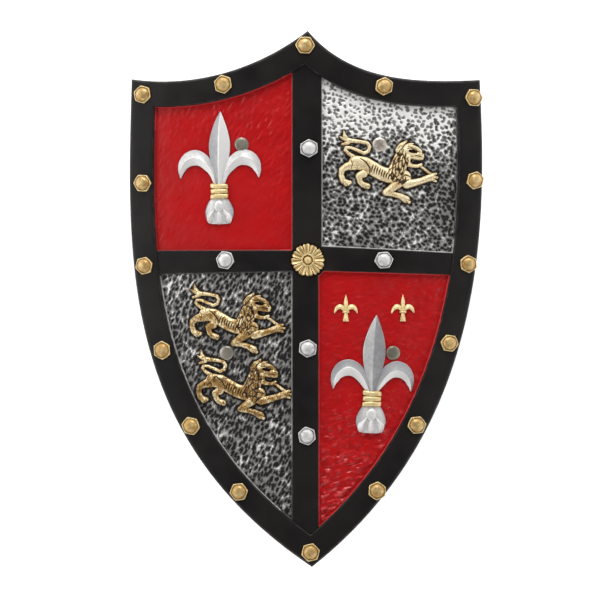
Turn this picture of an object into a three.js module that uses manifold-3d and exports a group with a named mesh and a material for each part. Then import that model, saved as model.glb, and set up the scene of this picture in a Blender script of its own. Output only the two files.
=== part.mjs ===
// Costume heater shield: a moulded foam board, bent like a roof tile, with two straps on its back.
//
// The board is one casting. Its frame, cross, bolt heads, rosette, lilies and lions are all moulded in
// relief on it, and only the four rivets, their washers and the two straps are separate pieces.
// It lies face up: +Z is out of the face, +Y is towards the peak, and it rests on z = 0 with its two side
// edges, tipped a little towards the tip, because its weight lies below its widest part.
//
// The casting is drawn flat, as if it were unrolled, and bent at the end. In the flat drawing x runs along
// the arc of the back, y is the height above the middle, and z is the distance from the back.

import * as THREE from "three";
import { mergeVertices } from "three/addons/utils/BufferGeometryUtils.js";
import Module from "manifold-3d";

const wasm = await Module();
wasm.setup();

// Overall sizes, in millimetres
const overallHeight = 600;
const overallWidth = 400;
const bow = 35;
const landingDepth = 2.2;
const restTilt = THREE.MathUtils.degToRad(2.25);
const restRoll = THREE.MathUtils.degToRad(0.35);
const bendStep = 57;

// Board
const borderTop = 13.5;
const crossStep = 1.5;
const panelDepth = 3.5;
const edgeRound = 2;
const wallSlope = 1.2;
const borderWidth = 28.5;

// Moulded bolt heads
const hexRadius = 10.4;
const hexHeight = 2.2;
const boltDomeRadius = 7.4;
const boltDomeHeight = 4;

// Rosette
const rosetteRadius = 18.5;
const rosettePetals = 12;
const rosetteHeight = 3.2;
const bossRadius = 21;
const moatWidth = 3;
const moatDepth = 1;

// Lilies and lions
const lilyHeight = 125;
const lowerLilyHeight = 131;
const smallLilyHeight = 29;
const upperPetalLift = 0.045;
const lowerPetalSpread = 0.94;
const lionLength = 110;
const lowerLionLength = 105;
const lilyRelief = 6;
const smallLilyRelief = 2.6;
const lionRelief = 5;

// Rivets, washers and straps
const rivetHeadRadius = 8;
const rivetHeadHeight = 2;
const rivetTailRadius = 5;
const rivetTailHeight = 1.6;
const shankRadius = 2.4;
const washerRadius = 7.5;
const washerThickness = 1;
const strapThickness = 2.4;
const strapWidth = 38;
const strapTab = 20;
const strapLead = 11;
const fitGap = 0.3;
const roundSides = 12;

// Places of the rivets in the flat drawing: the hand strap above, the forearm strap below
const handStrap = { left: -73.2, right: 79.6, height: 173, bow: 27 };
const armStrap = { left: -90.2, right: 94.7, height: -60.7, bow: 22 };

// Levels above the back
const crossTop = borderTop - crossStep;
const panelFloor = crossTop - panelDepth;
const rootDepth = 1;
const seatFloor = panelFloor + fitGap / 2;

// The bend: the back's radius and half its arc, from the width across the front edge and the bow
let halfAngle = 0;
for (let pass = 0; pass < 40; pass += 1) {
  halfAngle = 2 * Math.atan(bow / (overallWidth / 2 - borderTop * Math.sin(halfAngle)));
}
const backRadius = bow / (1 - Math.cos(halfAngle));
const halfArc = backRadius * halfAngle;

// Outline, as shares of half the arc and of the height. The hand-made master isn't quite symmetric.
const peak = [0, 0.5];
const tip = [0.0224, -0.5];
const rightCorner = [0.9755, 0.412];
const leftCorner = [-1, 0.4138];
const outlineShares = [
  { steps: 7, points: [peak, [0.243, 0.4017], [0.6195, 0.404], rightCorner] },
  { steps: 14, points: [rightCorner, [1.0015, 0.214], [1.099, -0.213], tip] },
  { steps: 14, points: [tip, [-1.109, -0.2443], [-1.0225, 0.1124], leftCorner] },
  { steps: 7, points: [leftCorner, [-0.606, 0.3926], [-0.258, 0.4324], peak] },
];
const outlineCurves = outlineShares.map(({ steps, points }) => {
  const [start, startPull, endPull, end] = points.map(
    ([x, y]) => new THREE.Vector2(x * halfArc, y * overallHeight),
  );
  return { steps, curve: new THREE.CubicBezierCurve(start, startPull, endPull, end) };
});
const [topRight, sideRight, sideLeft, topLeft] = outlineCurves.map(({ curve }) => curve);

// A point of a curve of the outline, moved inwards. The outline runs clockwise, so inwards is to the right.
function inside(curve, share, distance) {
  const point = curve.getPoint(share);
  const along = curve.getTangent(share);
  return point.add(new THREE.Vector2(along.y, -along.x).multiplyScalar(distance));
}

// Where the stretch from a to b meets the stretch from c to d, or null.
function meeting(a, b, c, d) {
  const ab = b.clone().sub(a);
  const cd = d.clone().sub(c);
  const ac = c.clone().sub(a);
  const turn = ab.cross(cd);
  const alongFirst = ac.cross(cd) / turn;
  const alongSecond = ac.cross(ab) / turn;
  const meets = alongFirst >= 0 && alongFirst <= 1 && alongSecond >= 0 && alongSecond <= 1;
  return meets ? a.clone().addScaledVector(ab, alongFirst) : null;
}

// Trims the end of one line and the start of the next at the point where they cross.
function trimmed(first, second) {
  for (let i = first.length - 2; i >= 0; i -= 1) {
    for (let j = 0; j < second.length - 1; j += 1) {
      const corner = meeting(first[i], first[i + 1], second[j], second[j + 1]);
      if (corner) {
        return [[...first.slice(0, i + 1), corner], [corner, ...second.slice(j + 1)]];
      }
    }
  }
  return [first, second];
}

// The outline moved inwards by a distance all round, as a closed list of points.
function insetOutline(distance) {
  const sides = outlineCurves.map(({ steps, curve }) =>
    Array.from({ length: steps + 1 }, (_, i) => inside(curve, i / steps, distance)),
  );
  if (distance > 0) {
    sides.forEach((_, i) => {
      const next = (i + 1) % sides.length;
      [sides[i], sides[next]] = trimmed(sides[i], sides[next]);
    });
  }
  return sides.flatMap((side) => side.slice(0, -1));
}

// Keeps the part of a polygon where the point's distance along a direction is at least a limit.
function clipped(points, direction, limit) {
  const reach = (p) => p.dot(direction) - limit;
  return points.flatMap((point, i) => {
    const next = points[(i + 1) % points.length];
    const [here, there] = [reach(point), reach(next)];
    const kept = here >= 0 ? [point] : [];
    if (here >= 0 !== there >= 0) kept.push(point.clone().lerp(next, here / (here - there)));
    return kept;
  });
}

// Makes a solid that can be joined and cut from a closed three.js geometry.
function toSolid(geometry) {
  const loose = geometry.index ? geometry.toNonIndexed() : geometry;
  const shell = mergeVertices(
    new THREE.BufferGeometry().setAttribute("position", loose.getAttribute("position")),
    1e-4,
  );
  const corners = shell.index.array;
  const triVerts = [];
  for (let i = 0; i < corners.length; i += 3) {
    const [a, b, c] = corners.subarray(i, i + 3);
    if (a !== b && b !== c && c !== a) triVerts.push(a, b, c);
  }
  const vertProperties = shell.getAttribute("position").array;
  return new wasm.Manifold(
    new wasm.Mesh({ numProp: 3, vertProperties, triVerts: new Uint32Array(triVerts) }),
  );
}

function toGeometry(solid) {
  const mesh = solid.getMesh();
  const geometry = new THREE.BufferGeometry();
  geometry.setAttribute("position", new THREE.BufferAttribute(mesh.vertProperties, 3));
  geometry.setIndex(new THREE.BufferAttribute(mesh.triVerts, 1));
  geometry.computeVertexNormals();
  return geometry;
}

// Moves geometries of an ornament to their place in the flat drawing.
function placed(geometries, x, y, z, turn = 0) {
  return geometries.map((geometry) => geometry.rotateZ(turn).translate(x, y, z));
}

// An extruded plate whose rims slope in by a size over a height, from z = low to z = high.
function plate(points, low, high, slope, slopeHeight) {
  const apart = points.filter((point, i) => point.distanceTo(points.at(i - 1)) > edgeRound);
  const geometry = new THREE.ExtrudeGeometry(new THREE.Shape(apart), {
    depth: high - low - 2 * slopeHeight,
    bevelThickness: slopeHeight,
    bevelSize: slope,
    bevelOffset: -slope,
    bevelSegments: 1,
  });
  return geometry.translate(0, 0, low + slopeHeight);
}

// A turned shape round the z axis, from a profile of [radius, z] pairs that runs upwards.
function turned(profile, sides) {
  const points = profile.map(([radius, z]) => new THREE.Vector2(radius, z));
  return new THREE.LatheGeometry(points, sides).rotateX(Math.PI / 2);
}

// Profile points of a low dome that ends on the axis.
function domeProfile(radius, base, height, steps) {
  return Array.from({ length: steps + 1 }, (_, i) => {
    const angle = (i / steps) * (Math.PI / 2);
    return [i === steps ? 0 : radius * Math.cos(angle), base + height * Math.sin(angle)];
  });
}

// Sections of a carved limb above its root, as [across, up] shares of its half width and its height
const roundSection = [[-1, 0.55], [0, 1], [1, 0.55]];
const ridgeSection = [[-1, 0.3], [0, 1], [1, 0.3]];

// A carved limb: a section carried along stations of [x, y, half width, height], rooted below z = 0.
function limb(stations, section) {
  const count = section.length + 2;
  const positions = [];
  stations.forEach(([x, y, halfWidth, height], i) => {
    const before = stations[Math.max(i - 1, 0)];
    const after = stations[Math.min(i + 1, stations.length - 1)];
    const along = new THREE.Vector2(after[0] - before[0], after[1] - before[1]).normalize();
    const ring = [[-1, null], ...section, [1, null]];
    ring.forEach(([across, up]) => {
      const z = up === null ? -rootDepth : up * height;
      positions.push(x + along.y * across * halfWidth, y - along.x * across * halfWidth, z);
    });
  });
  const index = [];
  for (let i = 0; i < stations.length - 1; i += 1) {
    for (let k = 0; k < count; k += 1) {
      const [a, b] = [i * count + k, i * count + ((k + 1) % count)];
      index.push(a, b, a + count, b, b + count, a + count);
    }
  }
  const last = (stations.length - 1) * count;
  for (let k = 1; k < count - 1; k += 1) {
    index.push(0, k + 1, k, last, last + k, last + k + 1);
  }
  const geometry = new THREE.BufferGeometry();
  geometry.setAttribute("position", new THREE.Float32BufferAttribute(positions, 3));
  return geometry.setIndex(index);
}

// Limbs of an ornament whose stations are [x, y, half width] shares of its size and a share of its relief.
function carved(limbs, size, relief, section) {
  return limbs.map((shares) =>
    limb(
      shares.map(([x, y, halfWidth, height]) => [x * size, y * size, halfWidth * size, height * relief]),
      section,
    ),
  );
}

// A moulded bolt head: a hexagon with a dome on it.
function boltHead() {
  const draft = 0.6;
  const foot = hexHeight - draft;
  const hexagon = [[0, -rootDepth], [hexRadius, -rootDepth], [hexRadius - draft, hexHeight], [0, hexHeight]];
  const dome = [[0, foot], ...domeProfile(boltDomeRadius, foot, boltDomeHeight, 2)];
  return [turned(hexagon, 6), turned(dome, 8)];
}

// Bolt heads round the border: [curve, share of the curve, share of the border's width in from the edge].
// They were set by eye on the real shield, so none stands quite where its neighbours would have it.
const peakInset = 0.58 * borderWidth;
const borderBolts = [
  ...[
    [sideRight, 0.053, 0.33],
    [sideRight, 0.255, 0.34],
    [sideRight, 0.426, 0.36],
    [sideRight, 0.578, 0.46],
    [sideRight, 0.732, 0.45],
    [sideRight, 0.856, 0.34],
    [sideLeft, 0.968, 0.52],
    [sideLeft, 0.789, 0.58],
    [sideLeft, 0.625, 0.47],
    [sideLeft, 0.454, 0.53],
    [sideLeft, 0.299, 0.42],
    [sideLeft, 0.156, 0.42],
    [topRight, 0.487, 0.44],
    [topLeft, 0.468, 0.44],
  ].map(([curve, share, inset]) => inside(curve, share, inset * borderWidth)),
  new THREE.Vector2(-2.9, overallHeight / 2 - peakInset),
  new THREE.Vector2(2.9, peakInset - overallHeight / 2),
];

// The cross: its middle, the half widths of its upright and the edges of its bar
const crossHeight = 43.3;
const uprightLeft = 17;
const uprightRight = { upper: 15.1, lower: 11.7 };
const barEdges = { upperLeft: 10.9, upperRight: 16.2, lowerLeft: 11.8, lowerRight: 11.5 };
const barDroop = { upperLeft: 0, upperRight: 0.049, lowerLeft: 0.019, lowerRight: 0.03 };
const crossBolts = [
  [1.3, 125],
  [-91, 0],
  [83.6, 0],
  [0, -98.8],
  [-1, -196.7],
];

// A panel's outline: what the border leaves, less one quarter's side of the upright and of the bar.
function panelOutline(right, upper, upright, barEdge, droop) {
  const acrossUpright = new THREE.Vector2(right ? 1 : -1, 0);
  const pastUpright = clipped(insetOutline(borderWidth), acrossUpright, upright);
  const away = upper ? 1 : -1;
  const tilt = right ? droop : -droop;
  const acrossBar = new THREE.Vector2(away * tilt, away).normalize();
  const edge = acrossBar.y * (crossHeight + away * barEdge);
  return clipped(pastUpright, acrossBar, edge);
}
const panels = {
  upperLeft: panelOutline(false, true, uprightLeft, barEdges.upperLeft, barDroop.upperLeft),
  upperRight: panelOutline(true, true, uprightRight.upper, barEdges.upperRight, barDroop.upperRight),
  lowerLeft: panelOutline(false, false, uprightLeft, barEdges.lowerLeft, barDroop.lowerLeft),
  lowerRight: panelOutline(true, false, uprightRight.lower, barEdges.lowerRight, barDroop.lowerRight),
};

// A point of a panel, as shares across the box round the panel from its lower left corner.
function panelPoint(panel, across, up) {
  const box = new THREE.Box2().setFromPoints(panel);
  return [
    THREE.MathUtils.lerp(box.min.x, box.max.x, across),
    THREE.MathUtils.lerp(box.min.y, box.max.y, up),
  ];
}

// A rosette: rings of points round a domed eye, whose height and reach swell along each petal.
function rosette() {
  const spokes = 2 * rosettePetals;
  const rings = [
    { valley: [0.3, 1], ridge: [0.3, 1] },
    { valley: [0.36, 0.35], ridge: [0.36, 0.5] },
    { valley: [0.8, 0.4], ridge: [0.78, 0.95] },
    { valley: [0.88, 0.25], ridge: [1, 0.5] },
  ];
  const positions = [0, 0, 1.3 * rosetteHeight, 0, 0, -rootDepth];
  rings.push({ valley: [0.88, null], ridge: [1, null] });
  rings.forEach(({ valley, ridge }) => {
    for (let i = 0; i < spokes; i += 1) {
      const [radius, height] = i % 2 ? ridge : valley;
      const angle = (2 * Math.PI * i) / spokes;
      const reach = radius * rosetteRadius;
      const z = height === null ? -rootDepth : height * rosetteHeight;
      positions.push(reach * Math.cos(angle), reach * Math.sin(angle), z);
    }
  });
  const index = [];
  const at = (ring, i) => 2 + ring * spokes + (i % spokes);
  for (let i = 0; i < spokes; i += 1) {
    index.push(0, at(0, i), at(0, i + 1));
    for (let ring = 0; ring < rings.length - 1; ring += 1) {
      const [a, b] = [at(ring, i), at(ring, i + 1)];
      const [c, d] = [at(ring + 1, i), at(ring + 1, i + 1)];
      index.push(a, c, b, b, c, d);
    }
    index.push(1, at(rings.length - 1, i + 1), at(rings.length - 1, i));
  }
  const geometry = new THREE.BufferGeometry();
  geometry.setAttribute("position", new THREE.Float32BufferAttribute(positions, 3));
  return [geometry.setIndex(index)];
}

// The round boss under the rosette, which fills the inner corners of the panels.
function rosetteBoss() {
  const foot = panelFloor - rootDepth;
  return turned([[0, foot], [bossRadius + wallSlope, foot], [bossRadius, crossTop], [0, crossTop]], 16);
}

// The shallow ring sunk round the rosette.
function rosetteMoat() {
  const inner = rosetteRadius - moatWidth / 2;
  const outer = rosetteRadius + moatWidth;
  const low = crossTop - moatDepth;
  const high = borderTop + rootDepth;
  const ring = [[inner, low], [outer - 1, low], [outer, crossTop], [outer, high], [inner, high]];
  return turned([...ring, ring[0]], 16);
}

// A lily in shares of its height, from the middle of its foot: [x, y, half width, share of the relief]
const middlePetal = [
  [0.012, 1, 0.006, 0.35],
  [0.007, 0.86, 0.062, 0.8],
  [0.004, 0.7, 0.094, 1],
  [0.002, 0.54, 0.078, 0.95],
  [0, 0.34, 0.04, 0.75],
];
const sidePetal = [
  [0.03, 0.345, 0.022, 0.6],
  [0.092, 0.46, 0.048, 0.75],
  [0.175, 0.54, 0.07, 0.85],
  [0.27, 0.538, 0.07, 0.9],
  [0.333, 0.47, 0.052, 0.75],
  [0.354, 0.365, 0.012, 0.35],
];
const footLobe = [
  [0.03, 0.15, 0.04, 0.9],
  [0.075, 0.065, 0.052, 0.95],
  [0.088, 0.006, 0.03, 0.6],
];
const middleLobe = [
  [0, 0.14, 0.04, 0.9],
  [0, 0.05, 0.048, 1],
  [0, -0.008, 0.03, 0.6],
];

function mirrored(shares) {
  return shares.map(([x, ...rest]) => [-x, ...rest]);
}

// A turned shape round the lily's stem, pressed flat to the relief: the profile is [radius, height] shares.
function stemPiece(profile, size, relief) {
  const points = profile.map(([radius, height]) => new THREE.Vector2(radius * size, height * size));
  const widest = Math.max(...points.map((p) => p.x));
  return new THREE.LatheGeometry(points, 8).scale(1, 1, relief / widest);
}

// A large lily. Past its root, each side petal is spread and lifted by shares, as the two lilies differ.
function lily(size, relief, spread, lift) {
  const [root, ...bend] = sidePetal;
  const right = [root, ...bend.map(([x, y, ...rest]) => [x * spread, y + lift, ...rest])];
  const petals = [middlePetal, right, mirrored(right)];
  const lobes = [footLobe, middleLobe, mirrored(footLobe)];
  const rings = [[0, 0.215]];
  for (let ring = 0; ring < 3; ring += 1) {
    const foot = 0.218 + ring * 0.047;
    rings.push([0.06, foot], [0.078, foot + 0.012], [0.078, foot + 0.035]);
  }
  rings.push([0.06, 0.36], [0, 0.36]);
  const bulb = [[0, 0.04], [0.12, 0.06], [0.116, 0.14], [0.055, 0.225], [0, 0.225]];
  return [
    ...carved([...petals, ...lobes], size, relief, ridgeSection),
    stemPiece(rings, size, relief),
    stemPiece(bulb, size, 0.8 * relief),
  ];
}

// A small lily: three petals on a plain stem.
const smallPetal = [
  [0.04, 0.36, 0.06, 0.8],
  [0.22, 0.55, 0.095, 0.9],
  [0.42, 0.34, 0.03, 0.6],
];
const smallSpear = [
  [0, 1, 0.02, 0.5],
  [0, 0.68, 0.08, 0.9],
  [0, 0.36, 0.075, 1],
  [0, 0, 0.11, 0.8],
];

function smallLily() {
  const petals = [smallSpear, smallPetal, mirrored(smallPetal)];
  return carved(petals, smallLilyHeight, smallLilyRelief, ridgeSection);
}

// A walking lion that looks and steps to the right, in shares of its length from its lower left:
// [x, y, half width, share of the relief]
const lionLimbs = {
  trunk: [
    [0.1, 0.44, 0.034, 0.7],
    [0.18, 0.43, 0.074, 0.95],
    [0.3, 0.405, 0.07, 1],
    [0.43, 0.33, 0.058, 0.9],
    [0.58, 0.3, 0.08, 1],
    [0.71, 0.28, 0.042, 0.75],
  ],
  mane: [
    [0.585, 0.3, 0.07, 0.9],
    [0.625, 0.4, 0.09, 1],
    [0.662, 0.5, 0.084, 1],
    [0.67, 0.59, 0.036, 0.7],
  ],
  muzzle: [
    [0.64, 0.54, 0.06, 1],
    [0.74, 0.564, 0.05, 0.95],
    [0.825, 0.542, 0.036, 0.85],
    [0.868, 0.5, 0.016, 0.6],
  ],
  jaw: [
    [0.68, 0.45, 0.036, 0.8],
    [0.76, 0.407, 0.018, 0.75],
    [0.85, 0.412, 0.013, 0.6],
  ],
  crest: [
    [0.63, 0.55, 0.04, 0.85],
    [0.708, 0.675, 0.008, 0.5],
  ],
  tongue: [
    [0.845, 0.425, 0.01, 0.5],
    [0.945, 0.31, 0.014, 0.55],
  ],
  raisedForeleg: [
    [0.66, 0.215, 0.048, 0.9],
    [0.77, 0.226, 0.031, 0.8],
    [0.86, 0.255, 0.026, 0.75],
    [0.93, 0.287, 0.037, 0.75],
    [0.985, 0.3, 0.018, 0.5],
  ],
  upperArm: [
    [0.66, 0.28, 0.05, 1],
    [0.58, 0.2, 0.044, 0.9],
    [0.48, 0.13, 0.026, 0.7],
  ],
  forearm: [
    [0.465, 0.14, 0.018, 0.6],
    [0.62, 0.095, 0.025, 0.75],
    [0.71, 0.048, 0.038, 0.7],
    [0.745, 0.022, 0.014, 0.45],
  ],
  farHindleg: [
    [0.26, 0.34, 0.045, 0.75],
    [0.207, 0.285, 0.03, 0.7],
    [0.24, 0.212, 0.023, 0.65],
    [0.31, 0.172, 0.024, 0.55],
  ],
  nearHindleg: [
    [0.18, 0.42, 0.062, 0.95],
    [0.08, 0.375, 0.037, 0.8],
    [0.03, 0.3, 0.026, 0.75],
    [0.07, 0.222, 0.03, 0.65],
    [0.125, 0.205, 0.014, 0.45],
  ],
  tail: [
    [0.17, 0.48, 0.024, 0.6],
    [0.11, 0.515, 0.014, 0.55],
    [0.066, 0.553, 0.013, 0.5],
    [0.105, 0.584, 0.013, 0.5],
    [0.2, 0.557, 0.013, 0.5],
    [0.27, 0.532, 0.014, 0.5],
    [0.315, 0.57, 0.013, 0.5],
    [0.285, 0.628, 0.013, 0.5],
    [0.13, 0.652, 0.022, 0.55],
    [0.056, 0.76, 0.004, 0.4],
  ],
};

function lion(length) {
  return carved(Object.values(lionLimbs), length, lionRelief, roundSection);
}

// Ornaments on the panels: [panel, shares across and up the panel's box, turn, geometries]
const panelOrnaments = [
  [panels.upperLeft, 0.482, 0.151, -0.012, lily(lilyHeight, lilyRelief, 1, upperPetalLift)],
  [panels.lowerRight, 0.39, 0.368, -0.041, lily(lowerLilyHeight, lilyRelief, lowerPetalSpread, 0)],
  [panels.lowerRight, 0.206, 0.803, 0, smallLily()],
  [panels.lowerRight, 0.638, 0.803, 0, smallLily()],
  [panels.upperRight, 0.12, 0.27, 0, lion(lionLength)],
  [panels.lowerLeft, 0.231, 0.663, 0, lion(lowerLionLength)],
  [panels.lowerLeft, 0.281, 0.398, 0, lion(lowerLionLength)],
];

const rivetSpots = [handStrap, armStrap].flatMap(({ left, right, height }) => [
  [left, height],
  [right, height],
]);

// A point of the flat drawing after the bend: each stretch of bendStep stays straight between two radii.
function bentPoint(x, z) {
  const line = Math.floor(x / bendStep);
  const radius = backRadius + z;
  const [before, after] = [line, line + 1].map((count) => {
    const angle = (count * bendStep) / backRadius;
    return new THREE.Vector2(radius * Math.sin(angle), radius * Math.cos(angle) - backRadius);
  });
  return before.lerp(after, x / bendStep - line);
}

function bent(geometry) {
  const position = geometry.getAttribute("position");
  for (let i = 0; i < position.count; i += 1) {
    const { x, y: z } = bentPoint(position.getX(i), position.getZ(i));
    position.setX(i, x);
    position.setZ(i, z);
  }
  return geometry;
}

// A flat solid after the bend: every triangle is first split at the lines where the facets meet.
function bentSolid(solid) {
  const { vertProperties, triVerts } = solid.getMesh();
  const positions = [];
  const keep = (polygon) => {
    for (let k = 1; k < polygon.length - 1; k += 1) {
      [polygon[0], polygon[k], polygon[k + 1]].forEach((p) => positions.push(p.x, p.y, p.z));
    }
  };
  const crossing = (a, b, x) => {
    const [low, high] = a.x < b.x ? [a, b] : [b, a];
    return low.clone().lerp(high, (x - low.x) / (high.x - low.x)).setX(x);
  };
  const side = (polygon, x, sign) =>
    polygon.flatMap((point, k) => {
      const next = polygon[(k + 1) % polygon.length];
      const here = sign * (point.x - x);
      const kept = here >= 0 ? [point] : [];
      if (here * sign * (next.x - x) < 0) kept.push(crossing(point, next, x));
      return kept;
    });
  for (let i = 0; i < triVerts.length; i += 3) {
    let rest = [0, 1, 2].map((k) => new THREE.Vector3().fromArray(vertProperties, 3 * triVerts[i + k]));
    const low = Math.min(...rest.map((p) => p.x));
    const high = Math.max(...rest.map((p) => p.x));
    for (let x = (Math.floor(low / bendStep) + 1) * bendStep; x < high; x += bendStep) {
      keep(side(rest, x, -1));
      rest = side(rest, x, 1);
    }
    keep(rest);
  }
  const geometry = new THREE.BufferGeometry();
  return toSolid(bent(geometry.setAttribute("position", new THREE.Float32BufferAttribute(positions, 3))));
}

// The placing of a piece that stands square to the bent board, with its z = 0 on the back.
function standing(x, y) {
  const foot = bentPoint(x, 0);
  const out = bentPoint(x, 1).sub(foot);
  return new THREE.Matrix4().makeRotationY(Math.atan2(out.x, out.y)).setPosition(foot.x, y, foot.y);
}

const lyingTurn = new THREE.Matrix4().makeRotationFromEuler(new THREE.Euler(restTilt, restRoll, 0));

function castingGeometry() {
  const union = (solid, geometries) =>
    geometries.reduce((joined, geometry) => joined.add(toSolid(geometry)), solid);
  const without = (solid, geometries) =>
    geometries.reduce((cut, geometry) => cut.subtract(toSolid(geometry)), solid);
  const above = borderTop + 2 * edgeRound;

  const block = toSolid(plate(insetOutline(0), 0, borderTop, edgeRound, edgeRound));
  const field = plate(insetOutline(borderWidth), crossTop, above, wallSlope, crossStep);
  const sunkPanels = Object.values(panels).map((panel) =>
    plate(panel, panelFloor, above, wallSlope, panelDepth),
  );
  const moat = rosetteMoat().translate(0, crossHeight, 0);
  const boss = rosetteBoss().translate(0, crossHeight, 0);
  let casting = without(union(without(block, [field, ...sunkPanels]), [boss]), [moat]);

  const bolts = [
    ...borderBolts.map(({ x, y }) => [x, y, borderTop]),
    ...crossBolts.map(([x, y]) => [x, crossHeight + y, crossTop]),
  ].flatMap(([x, y, z], i) => placed(boltHead(), x, y, z, (i * 17 * Math.PI) / 180));
  const figures = panelOrnaments.flatMap(([panel, across, up, turn, geometries]) =>
    placed(geometries, ...panelPoint(panel, across, up), panelFloor, turn),
  );
  const flower = placed(rosette(), 0, crossHeight, crossTop - 0.5);
  casting = bentSolid(union(casting, [...bolts, ...figures, ...flower]));

  const seatRadius = rivetHeadRadius + fitGap;
  const holeRadius = shankRadius + fitGap;
  const seats = rivetSpots.flatMap(([x, y]) => {
    const seat = [[0, seatFloor], [seatRadius, seatFloor], [seatRadius, above], [0, above]];
    const hole = [[0, -rootDepth], [holeRadius, -rootDepth], [holeRadius, above], [0, above]];
    return [turned(seat, roundSides), turned(hole, roundSides)].map((g) => g.applyMatrix4(standing(x, y)));
  });
  casting = without(casting, seats);

  // The lowest edges are pressed flat along the floor, so that the shield lies steady on them.
  const lying = toGeometry(casting).applyMatrix4(lyingTurn);
  lying.computeBoundingBox();
  const floorLevel = lying.boundingBox.min.z + landingDepth;
  const below = new THREE.BoxGeometry(2 * overallWidth, 2 * overallHeight, bow);
  below.translate(0, 0, floorLevel - bow / 2).applyMatrix4(lyingTurn.clone().invert());
  return toGeometry(without(casting, [below]));
}

// A strap: a band that lies on the back at both rivets and bows away between them.
function strapGeometry({ left, right, bow: strapBow }) {
  const middle = (left + right) / 2;
  const reach = (right - left) / 2 + strapTab;
  const bowReach = (right - left) / 2 - strapLead;
  const steps = 10;
  const edge = (depth) => {
    const bowed = Array.from({ length: steps + 1 }, (_, i) => {
      const share = (2 * i) / steps - 1;
      const drop = (strapBow * (1 + Math.cos(Math.PI * share))) / 2;
      return new THREE.Vector2(middle + share * bowReach, -fitGap - depth - drop);
    });
    const ends = [-reach, reach].map((x) => new THREE.Vector2(middle + x, -fitGap - depth));
    return [ends[0], ...bowed, ends[1]];
  };
  const band = new THREE.Shape([...edge(0), ...edge(strapThickness).reverse()]);
  const flat = new THREE.ExtrudeGeometry(band, { depth: strapWidth, bevelEnabled: false });
  flat.rotateX(Math.PI / 2).translate(0, strapWidth / 2, 0);
  const holes = [left, right].map((x) => {
    const radius = shankRadius + fitGap;
    const reachIn = 4 * strapThickness;
    const profile = [[0, -reachIn], [radius, -reachIn], [radius, reachIn], [0, reachIn]];
    return turned(profile, roundSides).applyMatrix4(standing(x, 0));
  });
  return toGeometry(holes.reduce((solid, hole) => solid.subtract(toSolid(hole)), bentSolid(toSolid(flat))));
}

// A set rivet: a domed head on the face, a shank, and a tail that holds the washer. z = 0 is the back.
const washerLow = -(strapThickness + 2 * fitGap) - washerThickness;
const tailTop = washerLow - fitGap;
function rivetGeometry() {
  const headBase = seatFloor + fitGap;
  return turned(
    [
      [0, tailTop - rivetTailHeight],
      [rivetTailRadius, tailTop - rivetTailHeight],
      [rivetTailRadius, tailTop],
      [shankRadius, tailTop],
      [shankRadius, headBase],
      [rivetHeadRadius, headBase],
      [0.8 * rivetHeadRadius, headBase + 0.75 * rivetHeadHeight],
      [0, headBase + rivetHeadHeight],
    ],
    roundSides,
  );
}

function washerGeometry() {
  const inner = shankRadius + fitGap;
  const washerTop = washerLow + washerThickness;
  const ring = [[inner, washerLow], [washerRadius, washerLow], [washerRadius, washerTop], [inner, washerTop]];
  return turned([...ring, ring[0]], roundSides);
}

// Materials
const painted = new THREE.MeshStandardMaterial({ color: 0x1f1c1b, roughness: 0.5, metalness: 0 });
const nickel = new THREE.MeshStandardMaterial({ color: 0x9b968c, roughness: 0.35, metalness: 0.9 });
const webbing = new THREE.MeshStandardMaterial({ color: 0x17171a, roughness: 0.85, metalness: 0 });

function named(name, geometry, material) {
  const mesh = new THREE.Mesh(geometry, material);
  mesh.name = name;
  return mesh;
}

const casting = named("moulded_board", castingGeometry(), painted);
const lyingShield = new THREE.Group();
lyingShield.setRotationFromMatrix(lyingTurn);
lyingShield.add(casting);

["hand_left", "hand_right", "arm_left", "arm_right"].forEach((place, i) => {
  const rivet = named(`rivet_${place}`, rivetGeometry(), nickel);
  const washer = named(`washer_${place}`, washerGeometry(), nickel);
  [rivet, washer].forEach((piece) => piece.applyMatrix4(standing(...rivetSpots[i])));
  lyingShield.add(rivet, washer);
});

const handBand = named("hand_strap", strapGeometry(handStrap), webbing);
handBand.position.y = handStrap.height;
const armBand = named("forearm_strap", strapGeometry(armStrap), webbing);
armBand.position.y = armStrap.height;
lyingShield.add(handBand, armBand);

// The origin is under the middle of the shield, on the floor.
const reach = new THREE.Box3().setFromObject(lyingShield, true);
const middle = reach.getCenter(new THREE.Vector3());
lyingShield.position.set(-middle.x, -middle.y, -reach.min.z);

const shield = new THREE.Group();
shield.add(lyingShield);

export default shield;
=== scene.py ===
# %% [markdown]
# # A costume heater shield, moulded in one and painted
#
# The real thing is a board of stiff foam. It was cast in one mould with its frame, cross, bolt heads, lions
# and lilies, bent like a roof tile, and painted by hand in black, red, silver and gold. Only four rivets
# and the two straps that they hold are separate pieces.
#
# Almost everything here is drawn on a flat sheet, as if the shield were unrolled, and one function bends
# the finished points round a cylinder at the very end. Drawing each relief on the curved board would need a
# new set of sums for every ornament, while on the flat sheet a lion is only a hill over a plane.

import math

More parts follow.
